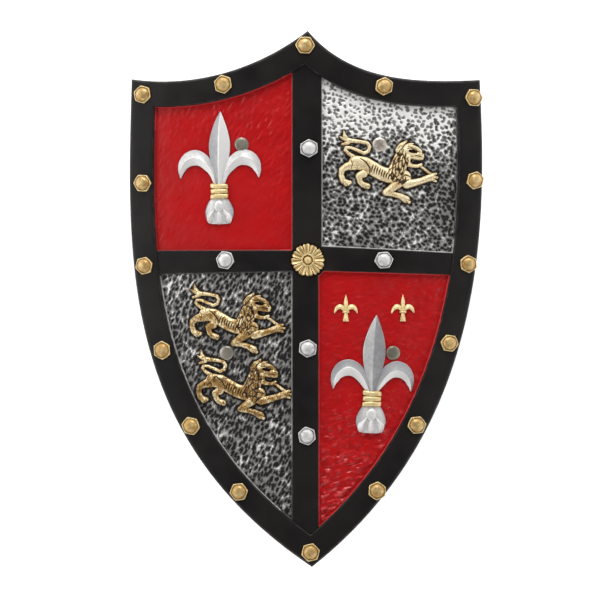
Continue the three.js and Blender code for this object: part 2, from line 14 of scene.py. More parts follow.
import bpy
import numpy as np
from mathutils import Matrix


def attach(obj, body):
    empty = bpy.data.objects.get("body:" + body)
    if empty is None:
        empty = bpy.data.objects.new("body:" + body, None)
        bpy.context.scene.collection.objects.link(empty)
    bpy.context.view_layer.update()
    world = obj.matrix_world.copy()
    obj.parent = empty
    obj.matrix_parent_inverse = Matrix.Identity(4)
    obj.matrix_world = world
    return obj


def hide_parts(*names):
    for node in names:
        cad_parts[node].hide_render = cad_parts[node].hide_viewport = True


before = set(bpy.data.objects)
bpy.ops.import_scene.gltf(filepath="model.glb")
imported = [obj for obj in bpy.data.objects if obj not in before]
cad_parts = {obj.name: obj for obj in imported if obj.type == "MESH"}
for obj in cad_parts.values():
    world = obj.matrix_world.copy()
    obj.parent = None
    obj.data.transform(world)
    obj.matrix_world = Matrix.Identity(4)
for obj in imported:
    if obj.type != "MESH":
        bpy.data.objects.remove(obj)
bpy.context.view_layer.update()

# %% [markdown]
# ## The sizes, and the bend
#
# The flat sheet is measured in millimetres: x runs along the arc of the back, y is the height above the
# middle, and z is the distance from the back. The board lies face up on its two side edges, tipped a little
# towards its tip. So `lay` bends the points, tips them and turns them into metres.

# %% Sizes and the bend
MM = 0.001
BOARD_HEIGHT = 600.0
BOARD_WIDTH = 400.0
BOW = 35.0
BORDER_TOP = 13.5
CROSS_TOP = 12.0
PANEL_FLOOR = 8.5
BORDER_WIDTH = 28.5
REST_TILT = math.radians(2.25)
REST_ROLL = math.radians(0.35)
REST_MOVE = np.array([1.5834805, 0.2599219, 29.0945051])

# The bow is r (1 - cos a), and r sin a is half the width less what the border's top adds to it. So the
# tangent of a / 2 is the bow over that rest, and repeating the step settles a.
half_angle = 0.0
for _ in range(40):
    half_angle = 2 * math.atan(BOW / (BOARD_WIDTH / 2 - BORDER_TOP * math.sin(half_angle)))
BACK_RADIUS = BOW / (1 - math.cos(half_angle))
HALF_ARC = BACK_RADIUS * half_angle

cos_tilt, sin_tilt = math.cos(REST_TILT), math.sin(REST_TILT)
cos_roll, sin_roll = math.cos(REST_ROLL), math.sin(REST_ROLL)
TILTED = np.array([[1, 0, 0], [0, cos_tilt, -sin_tilt], [0, sin_tilt, cos_tilt]])
ROLLED = np.array([[cos_roll, 0, sin_roll], [0, 1, 0], [-sin_roll, 0, cos_roll]])
LYING = TILTED @ ROLLED


def lay(flat):
    """Bends flat points, tips and moves them, and presses flat what would lie below the floor.

    The angle round the axis is x over the back's radius, and the reach from it is that radius plus z.
    """
    angle = flat[:, 0] / BACK_RADIUS
    reach = BACK_RADIUS + flat[:, 2]
    bent = np.stack([reach * np.sin(angle), flat[:, 1], reach * np.cos(angle) - BACK_RADIUS], axis=1)
    laid = bent @ LYING.T + REST_MOVE
    laid[:, 2] = np.maximum(laid[:, 2], 0)
    return laid * MM


print(f"back radius {BACK_RADIUS:.2f} mm, half arc {HALF_ARC:.2f} mm")

# %% [markdown]
# ## From arrays to a mesh
#
# Each surface is worked out as a whole array of corners. A grid of corners has the same faces every time, so
# one function lists them, and one function makes the object, marks its corners with values that the paint
# reads, and says which solid of the frame it stands for. A surface is passed on as its corners, its triangles
# and its marks.

# %% Mesh helpers
def corners(x, y, z):
    """The corners of a grid as rows of (x, y, z)."""
    return np.stack(np.broadcast_arrays(x, y, z), axis=-1).reshape(-1, 3)


def grid_faces(rows, columns, closed=False, keep=None):
    """The triangles of a grid of corners: each cell is cut once, and a closed grid joins its last column.

    Where keep says yes or no for each corner, only the triangles with three kept corners stay.
    """
    row, column = np.meshgrid(np.arange(rows - 1), np.arange(columns - (not closed)), indexing="ij")
    a = row * columns + column
    b = row * columns + (column + 1) % columns
    faces = np.concatenate([
        np.stack([a, b, b + columns], axis=-1).reshape(-1, 3),
        np.stack([a, b + columns, a + columns], axis=-1).reshape(-1, 3),
    ])
    return faces if keep is None else faces[keep.ravel()[faces].all(axis=1)]


def closed_end(flat, faces, first, count, centre=None, turned_over=False):
    """Closes a ring of corners with a fan of triangles from a centre, or else from the ring's own mean."""
    ring = first + np.arange(count)
    centre = flat[ring].mean(axis=0) if centre is None else centre
    fan = np.stack([np.full(count, len(flat)), ring, np.roll(ring, -1)], axis=1)
    return np.vstack([flat, centre]), np.vstack([faces, fan[:, ::-1] if turned_over else fan])


def make_piece(name, surface, slot, material, crease=None, stands_for=("moulded_board",)):
    """Makes an object from a flat surface, without its unused corners, and stores its marks."""
    flat, faces, marks = surface
    used, faces = np.unique(faces, return_inverse=True)
    mesh = bpy.data.meshes.new(name)
    mesh.vertices.add(len(used))
    mesh.vertices.foreach_set("co", lay(flat[used]).astype(np.float32).ravel())
    mesh.loops.add(faces.size)
    mesh.loops.foreach_set("vertex_index", faces.astype(np.int32).ravel())
    mesh.polygons.add(faces.size // 3)
    mesh.polygons.foreach_set("loop_start", np.arange(0, faces.size, 3, dtype=np.int32))
    mesh.update(calc_edges=True)
    mesh.validate()
    mesh.polygons.foreach_set("use_smooth", np.ones(len(mesh.polygons), dtype=bool))
    for mark, values in marks.items():
        layer = mesh.attributes.new(mark, "FLOAT", "POINT")
        layer.data.foreach_set("value", values[used].astype(np.float32))
    if crease:
        mesh.set_sharp_from_angle(angle=math.radians(crease))
    mesh.materials.append(material)
    piece = bpy.data.objects.new(name, mesh)
    bpy.context.scene.collection.objects.link(piece)
    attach(piece, "root")
    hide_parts(*stands_for)
    print(f"{name}: {len(mesh.polygons)} triangles")


def joined(parts):
    """Joins the surfaces of one piece: each one's triangles are counted on from the corners before it."""
    shift = np.cumsum([0] + [len(flat) for flat, _, _ in parts[:-1]])
    flat = np.concatenate([part[0] for part in parts])
    faces = np.concatenate([part[1] + start for part, start in zip(parts, shift)])
    marks = {key: np.concatenate([part[2][key] for part in parts]) for key in parts[0][2]}
    return flat, faces, marks


# %% [markdown]
# ## Soft random fields
#
# Hand work is never even. A field of smooth random hills, made by stretching a coarse grid of random numbers
# with a smooth blend, gives every surface its slow waves. The seeds are fixed, so each run is the same.

# %% Random fields
def hills(x, y, size, seed):
    """Smooth random hills between -1 and 1: random heights at a square grid, blended by smoothstep."""
    heights = np.random.default_rng(seed).uniform(-1, 1, (256, 256))
    u, v = x / size + 97.3, y / size + 83.1
    i, j = np.floor(u).astype(int), np.floor(v).astype(int)
    a, b = u - i, v - j
    a, b = a * a * (3 - 2 * a), b * b * (3 - 2 * b)
    i, j = i % 255, j % 255
    low = heights[i, j] * (1 - a) + heights[i + 1, j] * a
    high = heights[i, j + 1] * (1 - a) + heights[i + 1, j + 1] * a
    return low * (1 - b) + high * b


def ramp(value, low, high):
    """Zero below low, one above high, and a smooth S between them."""
    share = np.clip((value - low) / (high - low), 0, 1)
    return share * share * (3 - 2 * share)


# %% [markdown]
# ## Colours and the paint shop
#
# The finishes are all paint over moulded foam. Each material starts from what it is: a satin black, a glossy
# red enamel, and metal paints that were brushed on over black, so the black stays in every hollow. The
# hollows are known from the shapes, as a value at each corner, and the shader only has to read it. On several
# pieces that value also carries painted shade and painted highlight. A material is written as a table: each
# row is a node, and an input that holds a row's name is linked to that row.

# %% Colour and node helpers
def to_linear(colour):
    """Turns an sRGB hex colour into the linear values that the shader needs."""
    parts = [int(colour[i:i + 2], 16) / 255 for i in (1, 3, 5)]
    return tuple(p / 12.92 if p <= 0.04045 else ((p + 0.055) / 1.055) ** 2.4 for p in parts) + (1.0,)


# Each kind of node is its type, its settings, its usual inputs, and the output that others read, where that
# isn't the first live one.
PLACE = ("ShaderNodeTexCoord", {}, {}, "Object")
NOISE = ("ShaderNodeTexNoise", {}, {"Vector": "spot", "Detail": 3.0}, None)
RANGE = ("ShaderNodeMapRange", {"interpolation_type": "SMOOTHSTEP"}, {"From Min": 0.3, "From Max": 0.7}, None)
MIX = ("ShaderNodeMix", {"data_type": "RGBA"}, {}, None)
SUM = ("ShaderNodeMath", {"operation": "ADD"}, {}, None)
SCALED = ("ShaderNodeMath", {"operation": "MULTIPLY_ADD"}, {}, None)
BUMP = ("ShaderNodeBump", {}, {}, None)
SHADER = ("ShaderNodeBsdfPrincipled", {}, {}, None)
OUTPUT = ("ShaderNodeOutputMaterial", {}, {}, None)
# A mark is a value that make_piece stored at each corner.
MARKS = {
    mark: (("ShaderNodeAttribute", {"attribute_name": mark}, {}, "Fac"), {})
    for mark in ("depth_and_painted_light", "rim_wear_and_highlight", "red_wall_paint_and_highlight", "silver_wall_paint_and_highlight", "tarnish_and_dark_reflection", "yarn")
}
# A mix of colours knows its inputs by these numbers.
SHARE, FIRST, SECOND = 0, 6, 7


def blobs(size_mm):
    """The scale at which noise has blobs of about that size on the object."""
    return 1 / (size_mm * MM)


def add_node(tree, made, kind, inputs):
    """Adds a node with its settings, sets or links its inputs, and gives the output that others read.

    An input is a number, a colour as #RRGGBB, or the name of a node made before, which is linked to it.
    """
    type_name, settings, usual, output = kind
    node = tree.nodes.new(type_name)
    for key, value in settings.items():
        setattr(node, key, value)
    for key, value in {**usual, **inputs}.items():
        if value in made:
            tree.links.new(made[value], node.inputs[key])
        else:
            node.inputs[key].default_value = to_linear(value) if isinstance(value, str) else value
    return node.outputs[output] if output else next((live for live in node.outputs if live.enabled), None)


def fill_tree(tree, rows):
    """Fills an emptied tree with rows of name: (kind, inputs), in their order."""
    tree.nodes.clear()
    made = {}
    for name, (kind, inputs) in rows.items():
        made[name] = add_node(tree, made, kind, inputs)


def make_material(name, rows):
    """A material from rows of nodes, one of which is its shader."""
    material = bpy.data.materials.new(name)
    material.use_nodes = True
    fill_tree(material.node_tree, {**rows, "surface": (OUTPUT, {"Surface": "shader"})})
    print("material", name, len(material.node_tree.nodes), "nodes")
    return material


def skin(gloss_mm, smooth, rough, grain_mm, detail, strength, depth):
    """Rows for a skin: patches between a smooth and a rough value, and a fine grain that dents it."""
    return {
        "gloss": (NOISE, {"Scale": blobs(gloss_mm)}),
        "rough": (RANGE, {"Value": "gloss", "To Min": smooth, "To Max": rough}),
        "grain": (NOISE, {"Scale": blobs(grain_mm), "Detail": detail}),
        "dented": (BUMP, {"Height": "grain", "Strength": strength, "Distance": depth}),
    }


# %% Satin black
# Satin black acrylic on moulded foam gives a soft broad shine, faint orange peel, and lighter rims that are
# partly rubbed and partly a painted highlight.
black = make_material("satin_black_on_foam", {
    "spot": (PLACE, {}),
    "cloud": (NOISE, {"Scale": blobs(60)}),
    "clouded": (RANGE, {"Value": "cloud", "From Min": 0.35, "From Max": 0.7}),
    "fresh": (MIX, {SHARE: "clouded", FIRST: "#131111", SECOND: "#1D1A19"}),
    # The sharp rims are lighter in patches: partly rubbed by handling, partly a painted highlight along the
    # edges.
    "rim_wear_and_highlight": MARKS["rim_wear_and_highlight"],
    "wear": (NOISE, {"Scale": blobs(9)}),
    "rubbed_and_highlit": (RANGE, {"Value": "wear", "From Min": 0.4, "From Max": 0.62, "To Max": "rim_wear_and_highlight"}),
    "worn_and_highlit": (MIX, {SHARE: "rubbed_and_highlit", FIRST: "fresh", SECOND: "#4A4542"}),
    # The panels' paint has run up their walls, and the lighter colour there is also a painted highlight on
    # the walls that face the light.
    "red_wall_paint_and_highlight": MARKS["red_wall_paint_and_highlight"],
    "reddened": (MIX, {SHARE: "red_wall_paint_and_highlight", FIRST: "worn_and_highlit", SECOND: "#B8383A"}),
    "silver_wall_paint_and_highlight": MARKS["silver_wall_paint_and_highlight"],
    "base": (MIX, {SHARE: "silver_wall_paint_and_highlight", FIRST: "reddened", SECOND: "#BDBDBB"}),
    **skin(25, 0.4, 0.52, 1.6, 3.0, 0.12, 0.0004),
    "shader": (SHADER, {
        "Base Color": "base", "Roughness": "rough", "Normal": "dented", "Specular IOR Level": 0.22,
    }),
})

# %% Red enamel
# Glossy red enamel over hammered foam looks even and deep: darker in the low parts of the strokes, and pink
# on their crests, where the pink is a painted highlight.
red = make_material("red_enamel_on_hammered_foam", {
    "spot": (PLACE, {}),
    "depth_and_painted_light": MARKS["depth_and_painted_light"],
    "deep": (RANGE, {"Value": "depth_and_painted_light", "From Min": 0.2, "From Max": 1.0}),
    "darker_in_hollows": (MIX, {SHARE: "deep", FIRST: "#B01114", SECOND: "#8E0A0D"}),
    "cloud": (NOISE, {"Scale": blobs(38)}),
    "clouded": (RANGE, {"Value": "cloud", "From Min": 0.42, "From Max": 0.66, "To Max": 0.6}),
    "patchy": (MIX, {SHARE: "clouded", FIRST: "darker_in_hollows", SECOND: "#A30F12"}),
    # A painted highlight: the crests of the strokes are mixed towards pink.
    "high": (RANGE, {"Value": "depth_and_painted_light", "From Min": -0.15, "From Max": -1.0, "To Max": 0.8}),
    "base": (MIX, {SHARE: "high", FIRST: "patchy", SECOND: "#D8585A"}),
    **skin(18, 0.26, 0.4, 2.2, 3.0, 0.2, 0.0004),
    "shader": (SHADER, {
        "Base Color": "base", "Roughness": "rough", "Normal": "dented", "Coat Weight": 0.06,
        "Coat Roughness": 0.22, "Specular IOR Level": 0.32,
    }),
})


# %% Metal paint brushed over black
def brushed_over_black(name, light, middle, dark, metal, rough, grain_mm, drag, soft):
    """Metal paint brushed over black: full on the ridges, thin on the slopes, and none in the hollows.

    The mark says how deep a place lies, about 0 on a ridge and 1 in a hollow, and on some pieces it also
    carries painted shade, or painted highlight below zero. Drag is how unevenly the brush left the paint, and
    soft is over how much depth it thins out.
    """
    return make_material(name, {
        "spot": (PLACE, {}),
        "depth_and_painted_light": MARKS["depth_and_painted_light"],
        "speck": (NOISE, {"Scale": blobs(grain_mm), "Detail": 5.0, "Roughness": 0.6}),
        "patch": (NOISE, {"Scale": blobs(11)}),
        # The brush skips and drags, so fine and coarse noise move the border of the paint up and down.
        "coarse": (SCALED, {0: "patch", 1: 0.55, 2: -0.78}),
        "ragged": (SUM, {0: "speck", 1: "coarse"}),
        "hollow": (SCALED, {0: "ragged", 1: drag, 2: "depth_and_painted_light"}),
        "thin": (RANGE, {"Value": "hollow", "From Min": -0.12, "From Max": 0.36}),
        "tone": (MIX, {SHARE: "thin", FIRST: light, SECOND: middle}),
        "gone": (RANGE, {"Value": "hollow", "From Min": 0.3, "From Max": 0.3 + soft}),
        "base": (MIX, {SHARE: "gone", FIRST: "tone", SECOND: dark}),
        "metallic": (RANGE, {"Value": "hollow", "To Min": metal, "To Max": 0.0}),
        "rough": (SCALED, {0: "speck", 1: 0.2, 2: rough}),
        "grain": (BUMP, {"Height": "speck", "Strength": 0.3 * drag, "Distance": 0.0003}),
        "shader": (SHADER, {
            "Base Color": "base", "Metallic": "metallic", "Roughness": "rough", "Normal": "grain",
            "Specular IOR Level": 0.35,
        }),
    })


silver_hammered = brushed_over_black(
    "silver_brushed_over_black", "#F2F1EE", "#83817E", "#151314", 0.2, 0.36, 2.0, 1.1, 0.95,
)
silver = brushed_over_black("silver_paint", "#E2E1DF", "#98989A", "#3A3A3E", 0.2, 0.28, 3.5, 0.3, 0.48)
gold = brushed_over_black("gold_dry_brushed", "#F4E5BC", "#A27C41", "#281A0E", 0.3, 0.3, 1.5, 1.1, 0.7)
gold_full = brushed_over_black("gold_paint", "#EAD6A0", "#A67F42", "#2A1C10", 0.3, 0.28, 2.6, 0.45, 0.6)

# %% [markdown]
# ## The outline
#
# The outline is four smooth curves. The hand-made master of this shield wasn't quite symmetric, so left and
# right have their own curves. Everything that follows the rim is the outline moved inwards by a distance.
# Two neighbouring sides that are moved in cross each other, so both are cut at the crossing.

# %% The outline and its insets
PEAK = (0.0, 0.5)
TIP = (0.0224, -0.5)
RIGHT_CORNER = (0.9755, 0.412)
LEFT_CORNER = (-1.0, 0.4138)
OUTLINE = {
    "top_right": [PEAK, (0.243, 0.4017), (0.6195, 0.404), RIGHT_CORNER],
    "side_right": [RIGHT_CORNER, (1.0015, 0.214), (1.099, -0.213), TIP],
    "side_left": [TIP, (-1.109, -0.2443), (-1.0225, 0.1124), LEFT_CORNER],
    "top_left": [LEFT_CORNER, (-0.606, 0.3926), (-0.258, 0.4324), PEAK],
}
SIDE_COUNTS = {"top_right": 90, "side_right": 220, "side_left": 220, "top_left": 90}
SIDE_SAMPLES = 241


def inside(side, share, distance):
    """Points of a side's cubic curve, moved by a distance at right angles to it, towards the middle."""
    a, b, c, d = np.array(OUTLINE[side]) * (HALF_ARC, BOARD_HEIGHT)
    t = np.atleast_1d(share)[:, None]
    point = (1 - t) ** 3 * a + 3 * (1 - t) ** 2 * t * b + 3 * (1 - t) * t ** 2 * c + t ** 3 * d
    along = (1 - t) ** 2 * (b - a) + 2 * (1 - t) * t * (c - b) + t ** 2 * (d - c)
    along /= np.linalg.norm(along, axis=1, keepdims=True)
    return point + distance * np.stack([along[:, 1], -along[:, 0]], axis=1)


def crossing(first, second):
    """Where two lines of points cross: every stretch of one is solved against every stretch of the other."""
    ab, cd = np.diff(first, axis=0)[:, None], np.diff(second, axis=0)[None]
    ac = second[None, :-1] - first[:-1, None]
    turn = ab[..., 0] * cd[..., 1] - ab[..., 1] * cd[..., 0]
    along_first = (ac[..., 0] * cd[..., 1] - ac[..., 1] * cd[..., 0]) / turn
    along_second = (ac[..., 0] * ab[..., 1] - ac[..., 1] * ab[..., 0]) / turn
    hits = (along_first >= 0) & (along_first < 1) & (along_second >= 0) & (along_second < 1)
    i, j = np.argwhere(hits)[-1]
    return i, j, first[i] + along_first[i, j] * ab[i, 0]


def inset_sides(distance):
    """The four sides moved inwards, cut where they cross, and spaced evenly again."""
    shares = np.linspace(0, 1, SIDE_SAMPLES)
    sides = [inside(side, shares, distance) for side in OUTLINE]
    if distance > 0:
        for k in range(4):
            after = (k + 1) % 4
            i, j, corner = crossing(sides[k], sides[after])
            sides[k] = np.vstack([sides[k][:i + 1], corner])
            sides[after] = np.vstack([corner, sides[after][j + 1:]])
    spaced = []
    for line, count in zip(sides, SIDE_COUNTS.values()):
        run = np.concatenate([[0], np.cumsum(np.linalg.norm(np.diff(line, axis=0), axis=1))])
        spots = np.linspace(0, run[-1], count + 1)
        spaced.append(np.stack([np.interp(spots, run, places) for places in line.T], axis=1))
    return spaced


def inset_loop(distance):
    """The closed outline, moved inwards."""
    return np.vstack([side[:-1] for side in inset_sides(distance)])


LOOP_COUNT = sum(SIDE_COUNTS.values())
print("outline corners", LOOP_COUNT, "extent", np.ptp(inset_loop(0), axis=0).round(1))

# %% [markdown]
# ## Where the cross and the panels are
#
# The cross isn't ruled: its upright is a little wider above than below on the right, and its bar droops to
# the right. `cross_depth` says how far a point lies outside the cross, and is negative within it. The
# rosette sits on a round boss that fills the corners of the four panels.

# %% The cross as a distance
CROSS_HEIGHT = 43.3
UPRIGHT_LEFT = -17.0
UPRIGHT_RIGHT_ABOVE = 15.1
UPRIGHT_RIGHT_BELOW = 11.7
BOSS_RADIUS = 21.0
BAR_BLEND = 12.0
# Each edge of the bar is two lines, left and right of the upright, each as (height at x = 0, slope).
BAR_TOP = ((54.2, 0.0), (59.5, -0.049))
BAR_BOTTOM = ((31.5, 0.019), (31.8, -0.03))
# How high the panels' paint, and the painted highlight on the walls, reach up the walls
WALL_PAINT_AND_HIGHLIGHT = 11.2


def upright_right(y):
    """The upright's right edge, which steps from its upper to its lower place behind the bar."""
    share = ramp(y, CROSS_HEIGHT - BAR_BLEND, CROSS_HEIGHT + BAR_BLEND)
    return UPRIGHT_RIGHT_BELOW + share * (UPRIGHT_RIGHT_ABOVE - UPRIGHT_RIGHT_BELOW)


def bar_edge(x, lines):
    """The height of an edge of the bar: its left line blends into its right one behind the upright."""
    share = ramp(x, UPRIGHT_LEFT, UPRIGHT_RIGHT_BELOW)
    left, right = (height + slope * x for height, slope in lines)
    return left + share * (right - left)


def cross_depth(x, y):
    """How far outside the cross a point lies: the least of its distances from upright, bar and boss."""
    from_upright = np.maximum(UPRIGHT_LEFT - x, x - upright_right(y))
    from_bar = np.maximum(bar_edge(x, BAR_BOTTOM) - y, y - bar_edge(x, BAR_TOP))
    from_boss = np.hypot(x, y - CROSS_HEIGHT) - BOSS_RADIUS
    return np.minimum(np.minimum(from_upright, from_bar), from_boss)


def wall_marks(x, y, z):
    """How much panel paint lies on a wall: all of it up to a height that wanders by hills, then none.

    Part of this colour is paint run up the walls and part is a painted highlight, which is strongest on the
    walls
    that face the light: the red ones near the cross and above, the silver ones on the left of each panel.
    """
    reach = WALL_PAINT_AND_HIGHLIGHT + 0.5 * hills(x, y, 6, 21) + 0.4 * hills(x, y, 2, 22)
    painted = 1 - ramp(z, reach - 0.35, reach + 0.35)
    on_red = (x < 0) == (y > CROSS_HEIGHT)
    upper = y > CROSS_HEIGHT
    highlit_red_walls = ~upper | (x > -30) | (y > 190)
    highlit_silver_walls = np.where(upper, (x < 26) | (y < 66), (x < -30) | (y > -170)) & ~(~upper & (y > 26))
    broken = 0.5 + 0.5 * hills(x, y, 1.7, 23)
    # The lit walls take the fullest colour, which is painted highlight as much as paint.
    return {
        "red_wall_paint_and_highlight": painted * on_red * np.where(highlit_red_walls, 0.95, 0.45),
        "silver_wall_paint_and_highlight": painted * ~on_red * np.where(highlit_silver_walls, 0.35 + 0.6 * broken, 0.3 * broken),
    }


# %% [markdown]
# ## The frame of the board, and its back
#
# The frame is a profile carried round the outline: up the inner wall, over the flat top, round the worn outer
# edge and under to the back. Each point of the profile is one inset of the outline at one height, so all the
# rings have the same number of corners and join up by themselves. The back closes with rings that shrink
# towards the middle. It is plain moulded skin with slow waves, as the side that nobody sees is left.

# %% The frame and back
# Each point of the profile is how far in from the outline it stands, and its height.
FRAME_PROFILE = [
    (30.4, 7.4), (29.9, 8.1), (29.55, 8.9), (29.2, 10.2), (28.9, 11.5), (28.65, 12.5), (28.35, 13.1),
    (27.95, 13.4), (27.3, 13.5), (24.5, 13.5), (21.5, 13.52), (18.5, 13.53), (15.5, 13.55), (12.5, 13.55),
    (9.5, 13.53), (6.5, 13.5), (4.2, 13.46), (2.8, 13.36), (1.8, 13.1), (1.05, 12.6), (0.5, 11.95),
    (0.15, 11.2), (0.0, 10.2), (0.0, 8.2), (0.0, 6.2), (0.0, 4.2), (0.05, 3.0), (0.3, 1.9), (0.8, 1.0),
    (1.6, 0.4), (2.7, 0.08), (4.2, 0.0), (8.0, 0.0), (13.0, 0.0), (18.0, 0.0), (24.0, 0.0), (30.0, 0.0),
]
# The inner wall is the first rows, the flat top has all of the slow waves, and the edge rows are rubbed
# lighter and carry a painted highlight.
INNER_WALL_ROWS = 8
TOP_FROM, TOP_TO = 6, 17
WORN_AND_HIGHLIT_ROWS = (7, 18, 19, 20, 21)
BACK_RINGS = 26
BACK_MIDDLE = np.array([0.0, 20.0])

rings = []
for number, (distance, level) in enumerate(FRAME_PROFILE):
    x, y = inset_loop(distance).T
    wave = 0.16 * hills(x, y, 45, 1) + 0.05 * hills(x, y, 9, 2)
    rings.append(corners(x, y, level + wave * (1.0 if TOP_FROM <= number <= TOP_TO else 0.3)))
last_loop = rings[-1][:, :2]
for number in range(1, BACK_RINGS):
    x, y = (BACK_MIDDLE + (last_loop - BACK_MIDDLE) * (1 - number / BACK_RINGS)).T
    rings.append(corners(x, y, 0.12 * hills(x, y, 45, 1) + 0.06 * hills(x, y, 12, 3)))
faces = grid_faces(len(rings), LOOP_COUNT, closed=True)
last = (len(rings) - 1) * LOOP_COUNT
flat, faces = closed_end(np.vstack(rings), faces, last, LOOP_COUNT, [*BACK_MIDDLE, 0])
row = np.arange(len(flat)) // LOOP_COUNT
marks = {mark: values * (row < INNER_WALL_ROWS) for mark, values in wall_marks(*flat.T).items()}
marks["rim_wear_and_highlight"] = 0.55 * np.isin(row, WORN_AND_HIGHLIT_ROWS)
make_piece("board_frame_and_back", (flat, faces, marks), "black_paint", black, crease=50)

# %% [markdown]
# ## The cross
#
# The cross is a grid whose columns follow the edges of the upright and whose rows follow the edges of the
# bar. A square grid would give the slanting edges small steps. The grid is close together near each edge and
# loose elsewhere, and only the cells on the cross are kept.

# %% The cross
EDGE_STEPS = np.array([-1.7, -1.2, -0.8, -0.5, -0.25, 0.0, 0.25, 0.5, 0.8, 1.2, 1.7])
LOOSE_STEP = 2.5
CLOSE_STEP = 0.7
BOSS_HALF = 25
# The rows are laid for a level bar between these heights and then moved to its real edges.
ROW_LOW = 31.5
ROW_HIGH = 55.5
# How high the cross stands at some distances outside its edge: flat, rounded over, and down the wall
EDGE_DEPTHS = [-1.1, -0.65, -0.3, 0.0, 0.45, 1.2, 1.6]
EDGE_HEIGHTS = [12, 11.93, 11.72, 11.2, 10.1, 8.2, 7.3]
WALL_FOOT = 1.75


def cross_lines(low, high, least, most, middle):
    """Line places: close at both edges, 0.7 mm over the rosette's boss, loose outside."""
    places = np.concatenate([
        np.arange(least, middle - BOSS_HALF, LOOSE_STEP),
        np.arange(middle - BOSS_HALF, middle + BOSS_HALF, CLOSE_STEP),
        np.arange(middle + BOSS_HALF, most, LOOSE_STEP), low + EDGE_STEPS, high + EDGE_STEPS,
    ])
    places = np.unique(places.round(2))
    return places[np.concatenate([[True], np.diff(places) > 0.12])]


def follow(lines, straight, moved, fade):
    """How far each line near a straight edge moves with the edge: all of it near by, fading further out."""
    return (moved - straight) * (1 - ramp(abs(lines - straight), 2, fade))


columns = cross_lines(UPRIGHT_LEFT, UPRIGHT_RIGHT_ABOVE, -176, 176, 0)
rows = cross_lines(ROW_LOW, ROW_HIGH, -262, 272, CROSS_HEIGHT)
column, row = np.meshgrid(columns, rows)
x = column + follow(column, UPRIGHT_RIGHT_ABOVE, upright_right(row), 14)
y = row + follow(row, ROW_HIGH, bar_edge(x, BAR_TOP), 12) + follow(row, ROW_LOW, bar_edge(x, BAR_BOTTOM), 12)
depth = cross_depth(x, y)
z = np.interp(depth, EDGE_DEPTHS, EDGE_HEIGHTS) + 0.13 * hills(x, y, 40, 4) + 0.04 * hills(x, y, 8, 5)
# The boss is sunk by 1 mm under the rosette.
from_middle = np.hypot(x, y - CROSS_HEIGHT)
z -= (1.0 + 0.15 * hills(x, y, 5, 6)) * (1 - ramp(from_middle, 18.6, 20.4)) * (depth < 0)
flat = corners(x, y, z)
faces = grid_faces(*x.shape, keep=depth <= WALL_FOOT)
depth = depth.ravel()
marks = {mark: values * (depth > 0.12) for mark, values in wall_marks(*flat.T).items()}
# The rounded edge of the cross is lighter: partly rubbed, partly a painted highlight.
marks["rim_wear_and_highlight"] = 0.5 * (1 - ramp(abs(depth + 0.2), 0.1, 0.5))
make_piece("cross", (flat, faces, marks), "black_paint", black)

# %% [markdown]
# ## Random cells
#
# Hammered dents and the locks of a mane both look like the cells round scattered points. The points stand in
# a loose grid, each moved by chance, and every place only has to look at the twelve nearest ones.

# %% Random cells
def pits(x, y, pitch, stretch, lean, seed):
    """Cells round points of that pitch: gap to the cell's border, distance from its point, its own number."""
    random = np.random.default_rng(seed)
    jitter = random.uniform(-0.42, 0.42, (128, 128, 2))
    chance = random.uniform(0, 1, (128, 128))
    cos, sin = math.cos(lean), math.sin(lean)
    u = (x * cos + y * sin) / pitch
    v = (y * cos - x * sin) / (pitch * stretch)
    i, j = np.floor(u).astype(int), np.floor(v).astype(int)
    nearest = np.full(x.shape, 9.0)
    second = np.full(x.shape, 9.0)
    own = np.zeros(x.shape)
    for di in (-1, 0, 1, 2):
        for dj in (-1, 0, 1):
            ci, cj = (i + di) % 128, (j + dj) % 128
            du = i + di + 0.5 * (cj % 2) + jitter[ci, cj, 0] - u
            dv = j + dj + 0.5 + jitter[ci, cj, 1] - v
            gap = np.hypot(du, dv)
            closer = gap < nearest
            second = np.where(closer, nearest, np.minimum(second, gap))
            own = np.where(closer, chance[ci, cj], own)
            nearest = np.where(closer, gap, nearest)
    return (second - nearest) * pitch / 2, nearest, own


# %% [markdown]
# ## Bolt heads
#
# Sixteen gold bolt heads run round the frame and five silver ones stand on the cross. They are moulded, so
# their edges are soft and filled with paint. Each is a stack of rings: the lower rings are hexagons, the
# upper ones circles, and the rings between are a blend of both.

# %% Bolt heads
BOLT_SPOKES = 48
# Each ring is (radius, height, how round it is, how dark it is): the foot and the groove keep their black,
# and the dome is darkened as painted shade
BOLT_RINGS = [
    (10.75, -0.6, 0.15, 1.0), (10.65, 0.0, 0.15, 1.0), (10.5, 0.5, 0.15, 0.6), (10.4, 1.4, 0.15, 0.2),
    (10.2, 1.95, 0.2, 0.0), (9.9, 2.2, 0.2, 0.0), (9.45, 2.24, 0.25, 0.0), (8.95, 2.12, 0.4, 0.1),
    (8.4, 1.85, 0.75, 0.42), (7.95, 1.7, 0.95, 0.62), (7.6, 1.95, 1.0, 0.5), (7.25, 2.7, 1.0, 0.36),
    (6.6, 3.6, 1.0, 0.3), (5.6, 4.4, 1.0, 0.26), (4.3, 5.1, 1.0, 0.22), (2.9, 5.5, 1.0, 0.2),
    (1.4, 5.7, 1.0, 0.2),
]
BOLT_TOP = 5.75
